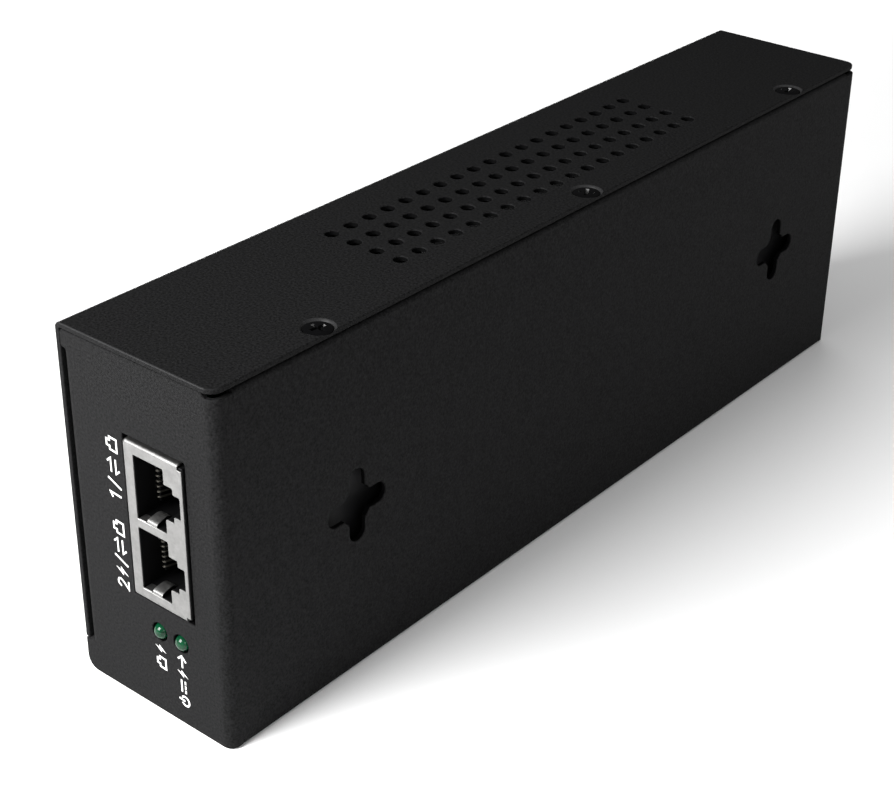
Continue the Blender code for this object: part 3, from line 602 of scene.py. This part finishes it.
BROWN = finish("wire_brown", (0.16, 0.06, 0.02), 0.4, 1500.0, bump=0.1)
BLUE = finish("wire_blue", (0.02, 0.07, 0.32), 0.4, 1500.0, bump=0.1)
STRIPED = finish("wire_green_yellow", (0.30, 0.42, 0.04), 0.4, 1500.0, vary=0.5,
                 patch=180.0)

SLOT_FINISH = {
    "black_powder_coat": COAT, "nickel_plate": NICKEL, "zinc_steel": ZINC,
    "black_oxide": OXIDE, "black_plastic": MOULDED, "gold_plate": GOLD,
    "green_lens": LENS, "board_laminate": BOARD, "insulating_film": FILM,
    "brass": BRASS, "tinned_brass": TIN, "glass_fuse": GLASS, "yellow_tape": YELLOW,
    "enamelled_copper": COPPER, "ferrite": FERRITE, "aluminium": ALUMINIUM,
    "capacitor_sleeve": SLEEVE, "epoxy_body": EPOXY, "blue_ceramic": CERAMIC,
    "brown_insulation": BROWN, "blue_insulation": BLUE,
    "green_yellow_insulation": STRIPED,
}


def finish_cad_nodes():
    """Every CAD node still shown gets the procedural finish of its slot."""
    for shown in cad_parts.values():
        for held in shown.material_slots:
            held.material = SLOT_FINISH[held.material.name.split(".")[0]]


# ---------- case

def keyhole(cy, cz):
    """A cross of four round-ended slots around a larger eye."""
    half = KEY_SLOT / 2
    eye = KEY_EYE / 2
    reach = KEY_SPAN / 2 - half
    shoulder = math.degrees(math.asin(half / eye))
    points = []
    for turn in (0, 90, 180, 270):
        side = math.radians(turn)
        points += arc(cy + reach * math.cos(side), cz + reach * math.sin(side), half,
                      turn - 90, turn + 90, 12)
        points += arc(cy, cz, eye, turn + shoulder, turn + 90 - shoulder, 6)
    return points


def port(centre_z, margin=0.0, radius=0.25):
    """The stepped opening of one port in (x, z), its latch steps towards +X."""
    upper = [(PORT_STEPS[0][0] - margin, PORT_STEPS[0][1] + margin, radius)]
    for (_, half), (step_x, after) in zip(PORT_STEPS, PORT_STEPS[1:]):
        upper.append((step_x + margin, half + margin, radius))
        if after:
            upper.append((step_x + margin, after + margin, radius))
    lower = [(x, -half, radius) for x, half, radius in reversed(upper)]
    return rounded([(x, centre_z + half, radius) for x, half, radius in upper + lower], 3)


def base_bends():
    lip = Lip(EAR_LOW, EAR_HIGH, X_OUT - BASE_LEFT - END_BEND - LIP_BEND, LIP_BEND,
              LOW_EASE, HIGH_EASE)
    ends = [Bend(0, side, Y_OUT, END_BEND, lambda u, v: v > MARGIN_START, lip)
            for side in (-1, 1)]
    top = Bend(1, 1, BASE_TOP, SIDE_BEND, lambda u, v: abs(u) < TOP_SLIT + SLIT / 2)
    bottom = Bend(1, -1, 0.0, SIDE_BEND,
                  lambda u, v: abs(u) < FLOOR_SLIT + SLIT / 2 or v < MARGIN_START)
    return ends, top, bottom


def base_outline(end, top, bottom):
    """The chassis' flat pattern: wall-mount face in the middle, folded margins around."""
    floor_bend = flat(bottom, SIDE_BEND) - BEND_CUT
    floor_edge = flat(bottom, X_OUT - BASE_LEFT)
    low_ear = flat(end, 2 * X_OUT)
    lip_root = flat(end, X_OUT - BASE_LEFT - LIP_BEND)
    high_ear = lip_root + LIP_BEND + BASE_LEFT - WALL_LEFT
    lip_edge = lip_root + LIP_BEND * math.pi / 2 + FLANGE_REACH - LIP_BEND
    relief_end = flat(end, 2.3)
    opening = BASE_TOP - CORNER_GAP
    lip_low = EAR_LOW + LOW_EASE + LIP_CLEAR
    lip_high = EAR_HIGH - HIGH_EASE - LIP_CLEAR
    slit_foot = BASE_TOP - SIDE_BEND - 0.4
    return rounded(mirrored([
        (FLOOR_END, floor_edge, 1.0), (FLOOR_END, floor_bend, 0.2),
        (FLOOR_SLIT, floor_bend, 0.1), (FLOOR_SLIT, SIDE_BEND + BEND_CUT, 0.0),
        (FLOOR_SLIT + SLIT, SIDE_BEND + BEND_CUT, 0.0), (FLOOR_SLIT + SLIT, 0.3, 0.3),
        (FLOOR_SLIT + 2.2, 0.0, 3.0),
        (low_ear, 0.0, 2.5), (low_ear, EAR_LOW, 0.3), (high_ear, EAR_LOW, 0.0),
        (high_ear, lip_low, 0.1), (lip_edge, lip_low, 1.0), (lip_edge, lip_high, 1.0),
        (high_ear, lip_high, 0.1), (high_ear, WALL_TOP, 0.7),
        (relief_end + 0.5, WALL_TOP, 0.3), (relief_end - 0.3, opening, 0.4),
        (TOP_SLIT + SLIT, opening, 0.0), (TOP_SLIT + SLIT, slit_foot, 0.0),
        (TOP_SLIT, slit_foot, 0.0), (TOP_SLIT, flat(top, X_OUT - RETURN_X), 1.0),
    ]))


def base_holes(end, top, bottom):
    """Openings of the chassis in its flat pattern."""
    def front(x):
        return -flat(end, X_OUT - x)

    def rear(x):
        return flat(end, X_OUT - x)

    margin, right_margin = JACK_MARGIN
    earth_low, earth_high = limits("earth_screw")
    earth = (earth_low + earth_high) / 2
    window = sorted((front(JACK_LOW.x - margin), front(JACK_HIGH.x + right_margin)))
    holes = [keyhole(y, KEY_Z) for y in KEY_Y]
    holes.append(box_outline(window, (JACK_LOW.z - margin, JACK_HIGH.z + margin), 0.3))
    holes += [circle(front(x), LED_Z, LED_HOLE) for x in LED_X]
    half_x, half_z = INLET_OPENING
    gap = sorted((rear(INLET_X - half_x), rear(INLET_X + half_x)))
    holes.append(box_outline(gap, (INLET_Z - half_z, INLET_Z + half_z), 1.0))
    holes += [circle(rear(INLET_X), INLET_Z + side * INLET_SCREW_PITCH / 2, SCREW_HOLE)
              for side in (-1, 1)]
    holes += [circle(y, flat(top, X_OUT - SCREW_X), THREAD_HOLE) for y in SCREW_Y]
    holes.append(circle(earth.y, flat(bottom, X_OUT - earth.x), SCREW_HOLE))
    return holes


def in_base_hollow(bm_face):
    """Whether a face of the base lies in a hole or the groove, where its coat is darkened as
    painted shade.
    """
    x, y, z = bm_face.calc_center_median()
    across, along, _ = (abs(part) for part in bm_face.normal)
    by_jack = JACK_LOW.x - 1 < x < JACK_HIGH.x + 1 and LED_Z - 2.2 < z < JACK_HIGH.z + 1
    in_opening = y < WALL_INSIDE and by_jack and along < 0.4
    in_groove = abs(y) < Y_OUT - 0.45 and x < BASE_LEFT + 0.75 and EAR_LOW < z < EAR_HIGH
    reach, low, high = KEY_ZONE
    in_keyhole = x > X_OUT - SHEET and across < 0.3 and abs(y) < reach and low < z < high
    return in_opening or in_groove or in_keyhole


def make_base():
    ends, top, bottom = base_bends()
    loops = [base_outline(ends[1], top, bottom)] + base_holes(ends[1], top, bottom)
    bm = sheet(loops, SHEET, SHEET_EDGE)
    fold(bm, [*ends, top, bottom], lambda u, v, depth: (X_OUT - depth, u, v))
    boss = [(THREAD_HOLE, 0.0), (2.6, 0.0), (2.2, -0.35), (2.1, -1.0), (1.95, -1.1),
            (THREAD_HOLE, -1.1), (THREAD_HOLE, 0.0)]
    bosses = [(lathe(boss, "Z", (SCREW_X, y, BASE_TOP - SHEET)), None) for y in SCREW_Y]
    whole = gather((bm, None), *bosses)
    # Faces in holes and the groove take the darker coat: painted shade.
    for bm_face in whole.faces:
        if in_base_hollow(bm_face):
            bm_face.material_index = 1
    piece("chassis_folded", whole, [COAT, COAT_SHADE], "case", "black_powder_coat",
          "base_chassis", crease=16)


def make_cover():
    bend = Bend(1, 1, TOP, COVER_BEND)
    free_edge = flat(bend, X_OUT + COVER_FREE)
    inset = Y_OUT - SHEET - GAP
    # The notch's edge slopes a little, so that no three corners line up after the cuts.
    outline = rounded(mirrored([
        (inset, 0.0, 0.5), (inset, EAR_LOW + 0.06, 0.1), (Y_OUT, EAR_LOW + 0.09, 0.4),
        (Y_OUT, free_edge, 2.5),
    ]), 6)
    loops = [outline]
    for row in range(VENT_ROWS):
        x = VENT_MID_X + (row - (VENT_ROWS - 1) / 2) * VENT_PITCH_X
        for column in range(VENT_COLUMNS):
            y = (column - (VENT_COLUMNS - 1) / 2) * VENT_PITCH_Y
            # Turned by odd amounts, so that no three corners of the pattern line up.
            turn = 0.037 * column + 0.071 * row + 0.011
            loops.append(circle(y, flat(bend, X_OUT + x), VENT_DIA / 2, 24, turn))
    bm = sheet(loops, SHEET, COVER_EDGE, 2)
    fold(bm, [bend], lambda u, v, depth: (-X_OUT + depth, u, v))
    sink = [(0.0, -1.5), (1.75, -1.5), (1.75, -0.9), (2.1, -0.75), (2.7, -0.42),
            (SINK_RADIUS - 0.12, -0.16), (SINK_RADIUS, -0.06), (SINK_RADIUS + 0.1, -0.015),
            (SINK_RADIUS + 0.14, 0.01), (SINK_RADIUS + 0.14, 0.5), (0.0, 0.5)]
    bm = carve(bm, *[lathe(sink, "Z", (SCREW_X, y, TOP), 48) for y in SCREW_Y])
    for bm_face in bm.faces:
        x, y, z = bm_face.calc_center_median()
        in_vents = abs(x) < VENT_ZONE[0] and abs(y) < VENT_ZONE[1] and z < TOP - 0.3
        in_notch = abs(y) < Y_OUT - 0.2 and x < 0 and abs(bm_face.normal.y) > 0.5
        # Vent walls and the notch's end faces take the darker coat: painted shade.
        if (in_vents and abs(bm_face.normal.z) < 0.3) or in_notch:
            bm_face.material_index = 1
        # The sinks' rims and the rounded rims at the cover's ends take the lighter coat:
        # painted highlight.
        in_sink = min(math.hypot(x - SCREW_X, y - screw_y) for screw_y in SCREW_Y) < 3.3
        on_end = abs(y) > Y_OUT - COVER_EDGE and 0.05 < abs(bm_face.normal.y) < 0.98
        if (in_sink or on_end) and z > TOP - 0.45 and 0.2 < bm_face.normal.z < 0.98:
            bm_face.material_index = 2
    piece("cover_folded", bm, [COAT, COAT_SHADE, COAT_HIGHLIGHT], "case", "black_powder_coat",
          "cover", crease=16)


def cross_recess(centre, turn, width, depth, length):
    """Cutters of a cross recess that narrows with depth, opening towards +Z."""
    cutters = []
    for quarter in (0, 90):
        bm = bmesh.new()
        bmesh.ops.create_cube(bm, size=1.0)
        for vert in bm.verts:
            low = vert.co.z < 0
            vert.co.x *= length * (0.55 if low else 1.0)
            vert.co.y *= width * (0.6 if low else 1.0)
            vert.co.z = -depth if low else 1.0
        turned = Matrix.Rotation(math.radians(turn + quarter), 3, "Z")
        bmesh.ops.rotate(bm, matrix=turned, verts=bm.verts)
        bmesh.ops.translate(bm, vec=centre, verts=bm.verts)
        cutters.append(bm)
    return cutters


def bright_recess(bm, top, axis_x, axis_y):
    """Give the ends of a cross recess the second, lighter finish: driver wear there, and
    painted glints.
    """
    for bm_face in bm.faces:
        x, y, z = bm_face.calc_center_median()
        reach = math.hypot(x - axis_x, y - axis_y)
        if 1.3 < reach < 2.0 and z < top - 0.08 and abs(bm_face.normal.z) < 0.95:
            bm_face.material_index = 1


def make_cover_screws():
    for name, y, turn in zip(("front", "middle", "rear"), SCREW_Y, (-8, 28, 12)):
        top = SCREW_HEAD_TOP
        profile = [(0.0, 0.06), (0.9, 0.05), (1.7, 0.01), (2.3, -0.06), (2.56, -0.14),
                   (2.64, -0.24), (2.54, -0.34), (1.35, -1.2), (1.25, -1.3)]
        for turn_of_thread in range(6):
            low = -1.4 - 0.5 * turn_of_thread
            profile += [(1.25, low), (1.0, low - 0.15), (1.0, low - 0.25), (1.25, low - 0.4)]
        profile += [(1.1, -4.3), (0.0, -4.35)]
        head = lathe(profile, "Z", (SCREW_X, y, top), 40)
        head = carve(head, *cross_recess((SCREW_X, y, top), turn, 0.9, 0.9, 3.9))
        bright_recess(head, top, SCREW_X, y)
        piece("cover_screw_%s_turned" % name, head, [OXIDE, WEAR_AND_GLINT], "case", "black_oxide",
              "cover_screw_" + name, crease=28)


def make_film():
    """The insulating sheet behind the wall-mount face, clear of the board's screws."""
    low, high = limits("insulating_film")
    loops = [box_outline((low.y, high.y), (low.z, high.z), 3.0)]
    for number in (1, 2, 3, 4):
        screw_low, screw_high = limits("board_screw_%d" % number)
        middle = (screw_low + screw_high) / 2
        loops.append(circle(middle.y, middle.z, FILM_HOLE))
    film = slab("+X", high.x - 0.05, 0.25, loops, 0.05)
    piece("film_cut", film, [FILM], "case", "insulating_film", "insulating_film", crease=25)


# ---------- jack

def make_shield():
    """The jack's stamped shell, drawn round on three sides and open towards the board."""
    radius = SHIELD_BEND
    bends = [Bend(1, 1, JACK_HIGH.z, radius), Bend(1, -1, -JACK_LOW.z, radius),
             Bend(0, -1, -JACK_LOW.x, radius)]
    run = JACK_HIGH.y - JACK_LOW.y - radius + radius * math.pi / 2
    notch = SHIELD_NOTCH
    left, right = JACK_LOW.x + radius, JACK_HIGH.x
    low, high = JACK_LOW.z + radius, JACK_HIGH.z - radius
    outline = arc(left, low, run, 270, 180, 12) + arc(left, high, run, 180, 90, 12)
    outline += [(right - notch, high + run), (right - notch, high - 0.25),
                (right, high - 0.25), (right, low + 0.25), (right - notch, low + 0.25),
                (right - notch, low - run)]
    loops = [outline] + [port(z) for z in PORT_Z]
    bm = sheet(loops, SHIELD, SHIELD_EDGE)
    fold(bm, bends, lambda u, v, depth: (u, JACK_LOW.y + depth, v))
    back = slab("+Y", JACK_HIGH.y, SHIELD,
                [box_outline((left, right), (low, high), 0.5)], SHIELD_EDGE)
    parts = [(bm, 0), (back, 0)]
    for z in PORT_Z:
        edge = z - PORT_STEPS[0][1]
        flap = slab("+Z", edge + 0.05, SHIELD,
                    [box_outline((-0.75, 1.25), (JACK_LOW.y + 0.1, JACK_LOW.y + 1.9), 0.3)],
                    SHIELD_EDGE)
        parts.append((flap, 0))
    piece("jack_shell", gather(*parts), [NICKEL], "case", "nickel_plate", "jack_shield",
          crease=20)


def make_jack_housing():
    low, high = limits("jack_housing")
    low.y = JACK_LOW.y + SHIELD + 0.03
    outer = box_outline((low.x, high.x), (low.z, high.z), 0.3)
    loops = [outer] + [port(z, 0.05, 0.15) for z in PORT_Z]
    front = slab("-Y", low.y, PORT_DEPTH, loops, 0.1)
    back = slab("-Y", low.y + PORT_DEPTH, high.y - low.y - PORT_DEPTH, [outer], 0.1)
    parts = [(front, 0), (back, 0)]
    for z in PORT_Z:
        for index in range(9):
            rib_z = z + (index - 4) * CONTACT_PITCH
            rib = slab("-Y", low.y + RIB_START, PORT_DEPTH - RIB_START,
                       [box_outline((-0.9, 1.6), (rib_z - 0.22, rib_z + 0.22), 0.1, 2)], 0.05)
            parts.append((rib, 0))
    piece("jack_body", gather(*parts), [MOULDED], "case", "black_plastic", "jack_housing",
          crease=25)


def make_contacts():
    """Eight sprung wires on a moulded bar for each port."""
    axis_x, axis_y = CONTACT_AXIS
    for name, z in zip(("lower", "upper"), PORT_Z):
        body = "contacts_" + name
        left = limits(body)[0].x
        bar = slab("-Y", axis_y - 0.15, 0.9,
                   [box_outline((left + 0.2, axis_x + 0.3), (z - 4.55, z + 4.55), 0.2)], 0.1)
        parts = [(bar, 1)]
        for index in range(8):
            wire_z = z + (index - 3.5) * CONTACT_PITCH
            path = [(-0.1, 0.9), (-0.25, 0.1), (-0.08, -0.42), (0.3, -0.38), (0.62, 0.4),
                    (1.2, 2.2), (2.0, 4.9), (2.72, 7.4), (2.85, 7.9)]
            wire = tube([(axis_x + x, axis_y + y, wire_z) for x, y in path], 0.2)
            parts.append((wire, 0))
        piece("contact_comb_" + name, gather(*parts), [GOLD, MOULDED], body, "gold_plate",
              body)


def make_ground_springs():
    """The tab that folds over each port's lower edge and runs into the cavity."""
    side = [(-0.62, -0.35), (-0.56, -0.02), (-0.1, 0.26), (0.9, 0.5), (1.7, 0.6),
            (2.3, 0.42), (2.8, -0.05), (3.1, -0.6)]
    route = smooth_route([(0, y, z) for y, z in side], 4)
    for name, z in zip(("lower", "upper"), PORT_Z):
        body = "ground_spring_" + name
        low, high = limits(body)
        pivot = Vector(((low.x + high.x) / 2, JACK_LOW.y + 0.75, z - PORT_STEPS[0][1] + 0.45))
        bm = bmesh.new()
        rows = []
        for index, point in enumerate(route):
            taper = 1 - 0.22 * index / len(route)
            ahead = route[min(index + 1, len(route) - 1)] - route[max(index - 1, 0)]
            up = Vector((0, -ahead.z, ahead.y)).normalized() * SPRING_THICK / 2
            corners = []
            for across, lift in ((-1, 1), (1, 1), (1, -1), (-1, -1)):
                offset = Vector((across * SPRING_HALF * taper, 0, 0)) + up * lift
                corners.append(bm.verts.new(pivot + point + offset))
            rows.append(corners)
        for first, second in zip(rows, rows[1:]):
            for corner in range(4):
                following = (corner + 1) % 4
                bm.faces.new((first[corner], first[following], second[following],
                              second[corner]))
        bm.faces.new(rows[0])
        bm.faces.new(list(reversed(rows[-1])))
        piece("ground_tab_" + name, face_outwards(bm), [NICKEL], body, "nickel_plate", body)


# ---------- lights

def make_lights():
    for name, x in zip(("output", "power"), LED_X):
        low, high = limits("light_" + name)
        low.y += LED_SUNK
        profile = [(LED_RADIUS * math.sin(math.radians(step * 7.5)),
                    LED_RADIUS - LED_RADIUS * math.cos(math.radians(step * 7.5)))
                   for step in range(13)]
        length = high.y - low.y
        profile += [(LED_RADIUS, length - 1.1), (LED_RADIUS + 0.22, length - 1.0),
                    (LED_RADIUS + 0.22, length - 0.05), (0.0, length)]
        lens = lathe(profile, "Y", (x, low.y, LED_Z), 40)
        piece("lamp_" + name, lens, [LENS], "case", "green_lens", "light_" + name)


def make_light_holder():
    low, high = limits("light_holder")
    loops = [box_outline((low.x, high.x), (low.z, high.z), 0.6)]
    loops += [circle(x, LED_Z, LED_HOLE, 28) for x in LED_X]
    body = slab("-Y", low.y, high.y - low.y, loops, 0.15)
    piece("lamp_holder", body, [MOULDED], "case", "black_plastic", "light_holder", crease=25)


# ---------- printed marks

def ribbon(points, width, closed=False):
    """A flat outline of even width along a line of (x, y) points."""
    route = [Vector(point) for point in points]
    count = len(route)
    left, right = [], []
    for index, here in enumerate(route):
        before = route[index - 1] if closed or index else None
        after = route[(index + 1) % count] if closed or index < count - 1 else None
        first = (here - before).normalized() if before else None
        second = (after - here).normalized() if after else None
        first = first or second
        second = second or first
        bisector = (first + second).normalized()
        square = Vector((-bisector.y, bisector.x))
        reach = min(width / 2 / max(first.dot(bisector), 0.35), width)
        cap = Vector((0, 0))
        if not closed and index in (0, count - 1):
            cap = (second if index else -first) * width * 0.3
        left.append(tuple(here + square * reach + cap))
        right.append(tuple(here - square * reach + cap))
    return left, right


# Marks in a cell one unit high, read towards +x: a line, a ring or a filled shape each.
MARKS = {
    "one": (0.42, [("line", [(0.06, 0.76), (0.32, 0.94), (0.32, 0.06)])]),
    "two": (0.62, [("line", [(0.06, 0.72), (0.14, 0.88), (0.31, 0.94), (0.48, 0.87),
                             (0.54, 0.7), (0.44, 0.48), (0.07, 0.06), (0.58, 0.06)])]),
    "arrow": (1.0, [("line", [(0.02, 0.5), (0.9, 0.5)]),
                    ("line", [(0.6, 0.84), (0.94, 0.5), (0.6, 0.16)])]),
    "exchange": (1.0, [("line", [(0.04, 0.7), (0.92, 0.7), (0.66, 0.96)]),
                       ("line", [(0.92, 0.3), (0.04, 0.3), (0.3, 0.04)])]),
    "slash": (0.42, [("line", [(0.02, 0.0), (0.38, 1.0)])]),
    "bolt": (0.56, [("fill", [(0.40, 1.0), (0.02, 0.42), (0.24, 0.42), (0.12, 0.0),
                              (0.54, 0.62), (0.30, 0.62)])]),
    "jack": (0.95, [("ring", [(0.07, 0.1), (0.87, 0.1), (0.87, 0.66), (0.66, 0.66),
                              (0.66, 0.9), (0.28, 0.9), (0.28, 0.66), (0.07, 0.66)])]),
    "power": (0.9, [("line", arc(0.44, 0.42, 0.36, 130, 410, 16)),
                    ("line", [(0.44, 0.5), (0.44, 0.96)])]),
    "direct": (1.0, [("line", [(0.02, 0.68), (0.94, 0.68)]),
                     ("line", [(0.02, 0.32), (0.2, 0.32)]),
                     ("line", [(0.39, 0.32), (0.57, 0.32)]),
                     ("line", [(0.76, 0.32), (0.94, 0.32)])]),
}
SLANT = 0.08
INK_WIDTH = 0.36
INK_PROUD = 0.03


def mark_loops(kind, points):
    """Outlines of one shape of a mark."""
    if kind == "fill":
        return [points]
    left, right = ribbon(points, INK_WIDTH, kind == "ring")
    return [left, right] if kind == "ring" else [left + right[::-1]]


def print_row(name, marks, start, height, foot, gap):
    """A row of marks on the end wall that reads upwards from z = start, its foot at x."""
    parts = []
    cursor = 0.0
    for mark in marks:
        width, shapes = MARKS[mark]
        for kind, drawn in shapes:
            placed = [(foot - y * height, start + (cursor + x + SLANT * y) * height)
                      for x, y in drawn]
            face = -Y_OUT - INK_PROUD
            parts.append((slab("-Y", face, 2 * INK_PROUD, mark_loops(kind, placed), 0.005), 0))
        cursor += width + gap
    piece(name, gather(*parts), [INK], "case", "black_powder_coat")


def make_marks():
    print_row("print_port_lower", ("two", "bolt", "slash", "exchange", "jack"),
              22.4, 3.0, -5.1, 0.26)
    print_row("print_port_upper", ("one", "slash", "exchange", "jack"), 40.4, 3.0, -5.1, 0.42)
    print_row("print_output", ("jack", "bolt"), 9.5, 2.6, 3.1, 0.36)
    print_row("print_power", ("power", "direct", "bolt", "arrow"), 3.9, 2.6, 8.35, 0.24)


# ---------- mains inlet

def inlet_outline(half_z, half_x, chamfer, radius):
    """Rectangle in (x, z) with both corners on its +X side cut off."""
    left, right = INLET_X - half_x, INLET_X + half_x
    low, high = INLET_Z - half_z, INLET_Z + half_z
    return rounded([(left, low, radius), (right - chamfer, low, radius),
                    (right, low + chamfer, radius), (right, high - chamfer, radius),
                    (right - chamfer, high, radius), (left, high, radius)])


def make_inlet():
    low, high = limits("inlet_housing")
    proud = high.y
    half_x, half_z = INLET_FLANGE
    cavity = inlet_outline(*INLET_CAVITY)
    flange_loops = [box_outline((INLET_X - half_x, INLET_X + half_x),
                                (INLET_Z - half_z, INLET_Z + half_z), 4.0, 8), cavity]
    screw_z = [INLET_Z + side * INLET_SCREW_PITCH / 2 for side in (-1, 1)]
    flange = slab("+Y", proud, proud - Y_OUT - GAP, flange_loops, 0.3, 3)
    sink = [(0.0, -2.6), (1.9, -2.6), (1.9, -1.4), (3.2, -0.15), (3.4, 0.01), (3.4, 0.5),
            (0.0, 0.5)]
    flange = carve(flange, *[lathe(sink, "Y", (INLET_X, proud, z), 40) for z in screw_z])
    rim = slab("+Y", proud, 0.9, [inlet_outline(*INLET_RIM), cavity], 0.25, 2)
    shroud = slab("+Y", Y_OUT + 0.35, Y_OUT + 0.35 - INLET_FLOOR,
                  [inlet_outline(*INLET_SHROUD), cavity], 0.1)
    slots = []
    for name in ("line", "neutral", "earth"):
        pin_low, pin_high = limits("inlet_pin_" + name)
        slots.append(box_outline((pin_low.x - GAP, pin_high.x + GAP),
                                 (pin_low.z - GAP, pin_high.z + GAP), 0.2))
    back = slab("+Y", INLET_FLOOR, INLET_FLOOR - low.y,
                [inlet_outline(*INLET_SHROUD)] + slots, 0.1)
    parts = [(part, 0) for part in (flange, rim, shroud, back)]
    piece("inlet_body", gather(*parts), [GLOSSY], "case", "black_plastic", "inlet_housing",
          crease=25)


def make_inlet_pins():
    for name in ("line", "neutral", "earth"):
        low, high = limits("inlet_pin_" + name)
        x, z = (low.x + high.x) / 2, (low.z + high.z) / 2
        half_x, half_z = BLADE_HALF
        blade = slab("+Y", high.y, high.y - BLADE_ROOT,
                     [box_outline((x - half_x, x + half_x), (z - half_z, z + half_z), 0.3)],
                     0.45, 4)
        hole_y, hole_radius = TAG_HOLE
        tag_loops = [box_outline(TAG_Y, (x - TAG_HALF, x + TAG_HALF), 0.5),
                     circle(hole_y, x, hole_radius)]
        tag = slab("+Z", z + TAG_THICK / 2, TAG_THICK,
                   [[(across, along) for along, across in loop] for loop in tag_loops], 0.1)
        piece("inlet_blade_" + name, gather((blade, 0), (tag, 0)), [TIN], "case",
              "tinned_brass", "inlet_pin_" + name, crease=25)


def make_inlet_screws():
    for name, side, turn in (("lower", -1, 20), ("upper", 1, 55)):
        z = INLET_Z + side * INLET_SCREW_PITCH / 2
        low, high = limits("inlet_screw_" + name)
        length = high.y - low.y
        profile = [(0.0, 0.0), (1.4, -0.03), (2.3, -0.12), (2.8, -0.28), (2.85, -0.4),
                   (1.55, -1.5), (1.5, -1.6)]
        steps = int((length - 2.4) / 0.6)
        for index in range(steps):
            start = -1.7 - 0.6 * index
            profile += [(1.5, start), (1.25, start - 0.2), (1.25, start - 0.3),
                        (1.5, start - 0.5)]
        profile += [(1.2, -length + 0.2), (0.0, -length)]
        head = lathe(profile, "Z", (0, 0, 0), 32)
        head = carve(head, *cross_recess((0, 0, 0), turn, 0.7, 1.1, 3.6))
        bmesh.ops.rotate(head, matrix=Matrix.Rotation(math.radians(-90), 3, "X"),
                         verts=head.verts)
        bmesh.ops.translate(head, vec=(INLET_X, high.y, z), verts=head.verts)
        piece("inlet_screw_%s_turned" % name, head, [ZINC], "case", "zinc_steel",
              "inlet_screw_" + name)


# ---------- stage

FLOOR_HALF = 3.0
FLOOR_Z = -0.0001              # metres; just under the case, so the two never share a plane


def make_stage():
    data = bpy.data.meshes.new("floor")
    corners = ((-1, -1), (1, -1), (1, 1), (-1, 1))
    data.from_pydata([(x * FLOOR_HALF, y * FLOOR_HALF, FLOOR_Z) for x, y in corners], [],
                     [(0, 1, 2, 3)])
    floor = add_object("floor", data)
    pale = finish("floor_paper", (0.95, 0.95, 0.95), 0.8, 300.0, specular=0.1, vary=0.01,
                  patch=3.0, bump=0.02)
    data.materials.append(pale)


def area_light(name, place, aim, size, power):
    data = bpy.data.lights.new(name, "AREA")
    data.shape = "RECTANGLE"
    data.size, data.size_y = size
    data.energy = power
    lamp = add_object(name, data)
    lamp.location = place
    lamp.rotation_mode = "QUATERNION"
    lamp.rotation_quaternion = (Vector(aim) - Vector(place)).to_track_quat("-Z", "Y")


def make_world(strength, dim, towards):
    """A soft white surround that is dimmer towards one direction."""
    world = bpy.data.worlds.new("studio")
    bpy.context.scene.world = world
    world.use_nodes = True
    tree = world.node_tree
    background = fill_in(tree.nodes["Background"], Color=(1.0, 1.0, 1.0, 1.0))
    facing = node(tree, "VectorMath")
    facing.operation = "DOT_PRODUCT"
    tree.links.new(node(tree, "TexCoord").outputs["Generated"], facing.inputs[0])
    facing.inputs[1].default_value = Vector(towards).normalized()
    fade = node(tree, "MapRange", From_Min=0.1, From_Max=0.85, To_Min=strength, To_Max=dim)
    fade.interpolation_type = "SMOOTHSTEP"
    tree.links.new(facing.outputs["Value"], fade.inputs["Value"])
    tree.links.new(fade.outputs["Result"], background.inputs["Strength"])


def make_lighting():
    make_world(0.6, 0.1, (-0.70, 0.52, 0.50))
    area_light("key", (-0.12, -0.46, 0.32), (0.0, -0.10, 0.03), (0.28, 0.28), 6.7)
    area_light("fill", (0.46, -0.34, 0.27), (0.018, 0.0, 0.035), (0.1, 0.1), 0.3)
    area_light("rear", (-0.42, 0.42, 0.035), (0.0, 0.0, 0.035), (0.6, 0.05), 4.5)
    view = bpy.context.scene.view_settings
    view.view_transform = "Standard"
    view.look = "None"


CAMERA_PLACE = (0.19984, -0.26437, 0.20685)
CAMERA_AIM = (0.0, -0.02173, 0.03630)
CAMERA_ROLL = 0.667            # degrees
CAMERA_LENS = 73.97
CAMERA_SHIFT = -0.04


def make_camera():
    data = bpy.data.cameras.new("camera")
    data.sensor_width = 36.0
    data.lens = CAMERA_LENS
    data.shift_y = CAMERA_SHIFT
    data.clip_start = 0.01
    camera = add_object("camera", data)
    sight = Vector(CAMERA_AIM) - Vector(CAMERA_PLACE)
    turn = sight.to_track_quat("-Z", "Y").to_matrix().to_4x4()
    roll = Matrix.Rotation(math.radians(CAMERA_ROLL), 4, "Z")
    camera.matrix_world = Matrix.Translation(CAMERA_PLACE) @ turn @ roll
    bpy.context.scene.camera = camera


# ---------- assembly

make_camera()
finish_cad_nodes()
make_base()
make_cover()
make_cover_screws()
make_film()
make_shield()
make_jack_housing()
make_contacts()
make_ground_springs()
make_lights()
make_light_holder()
make_marks()
make_inlet()
make_inlet_pins()
make_inlet_screws()
make_stage()
make_lighting()
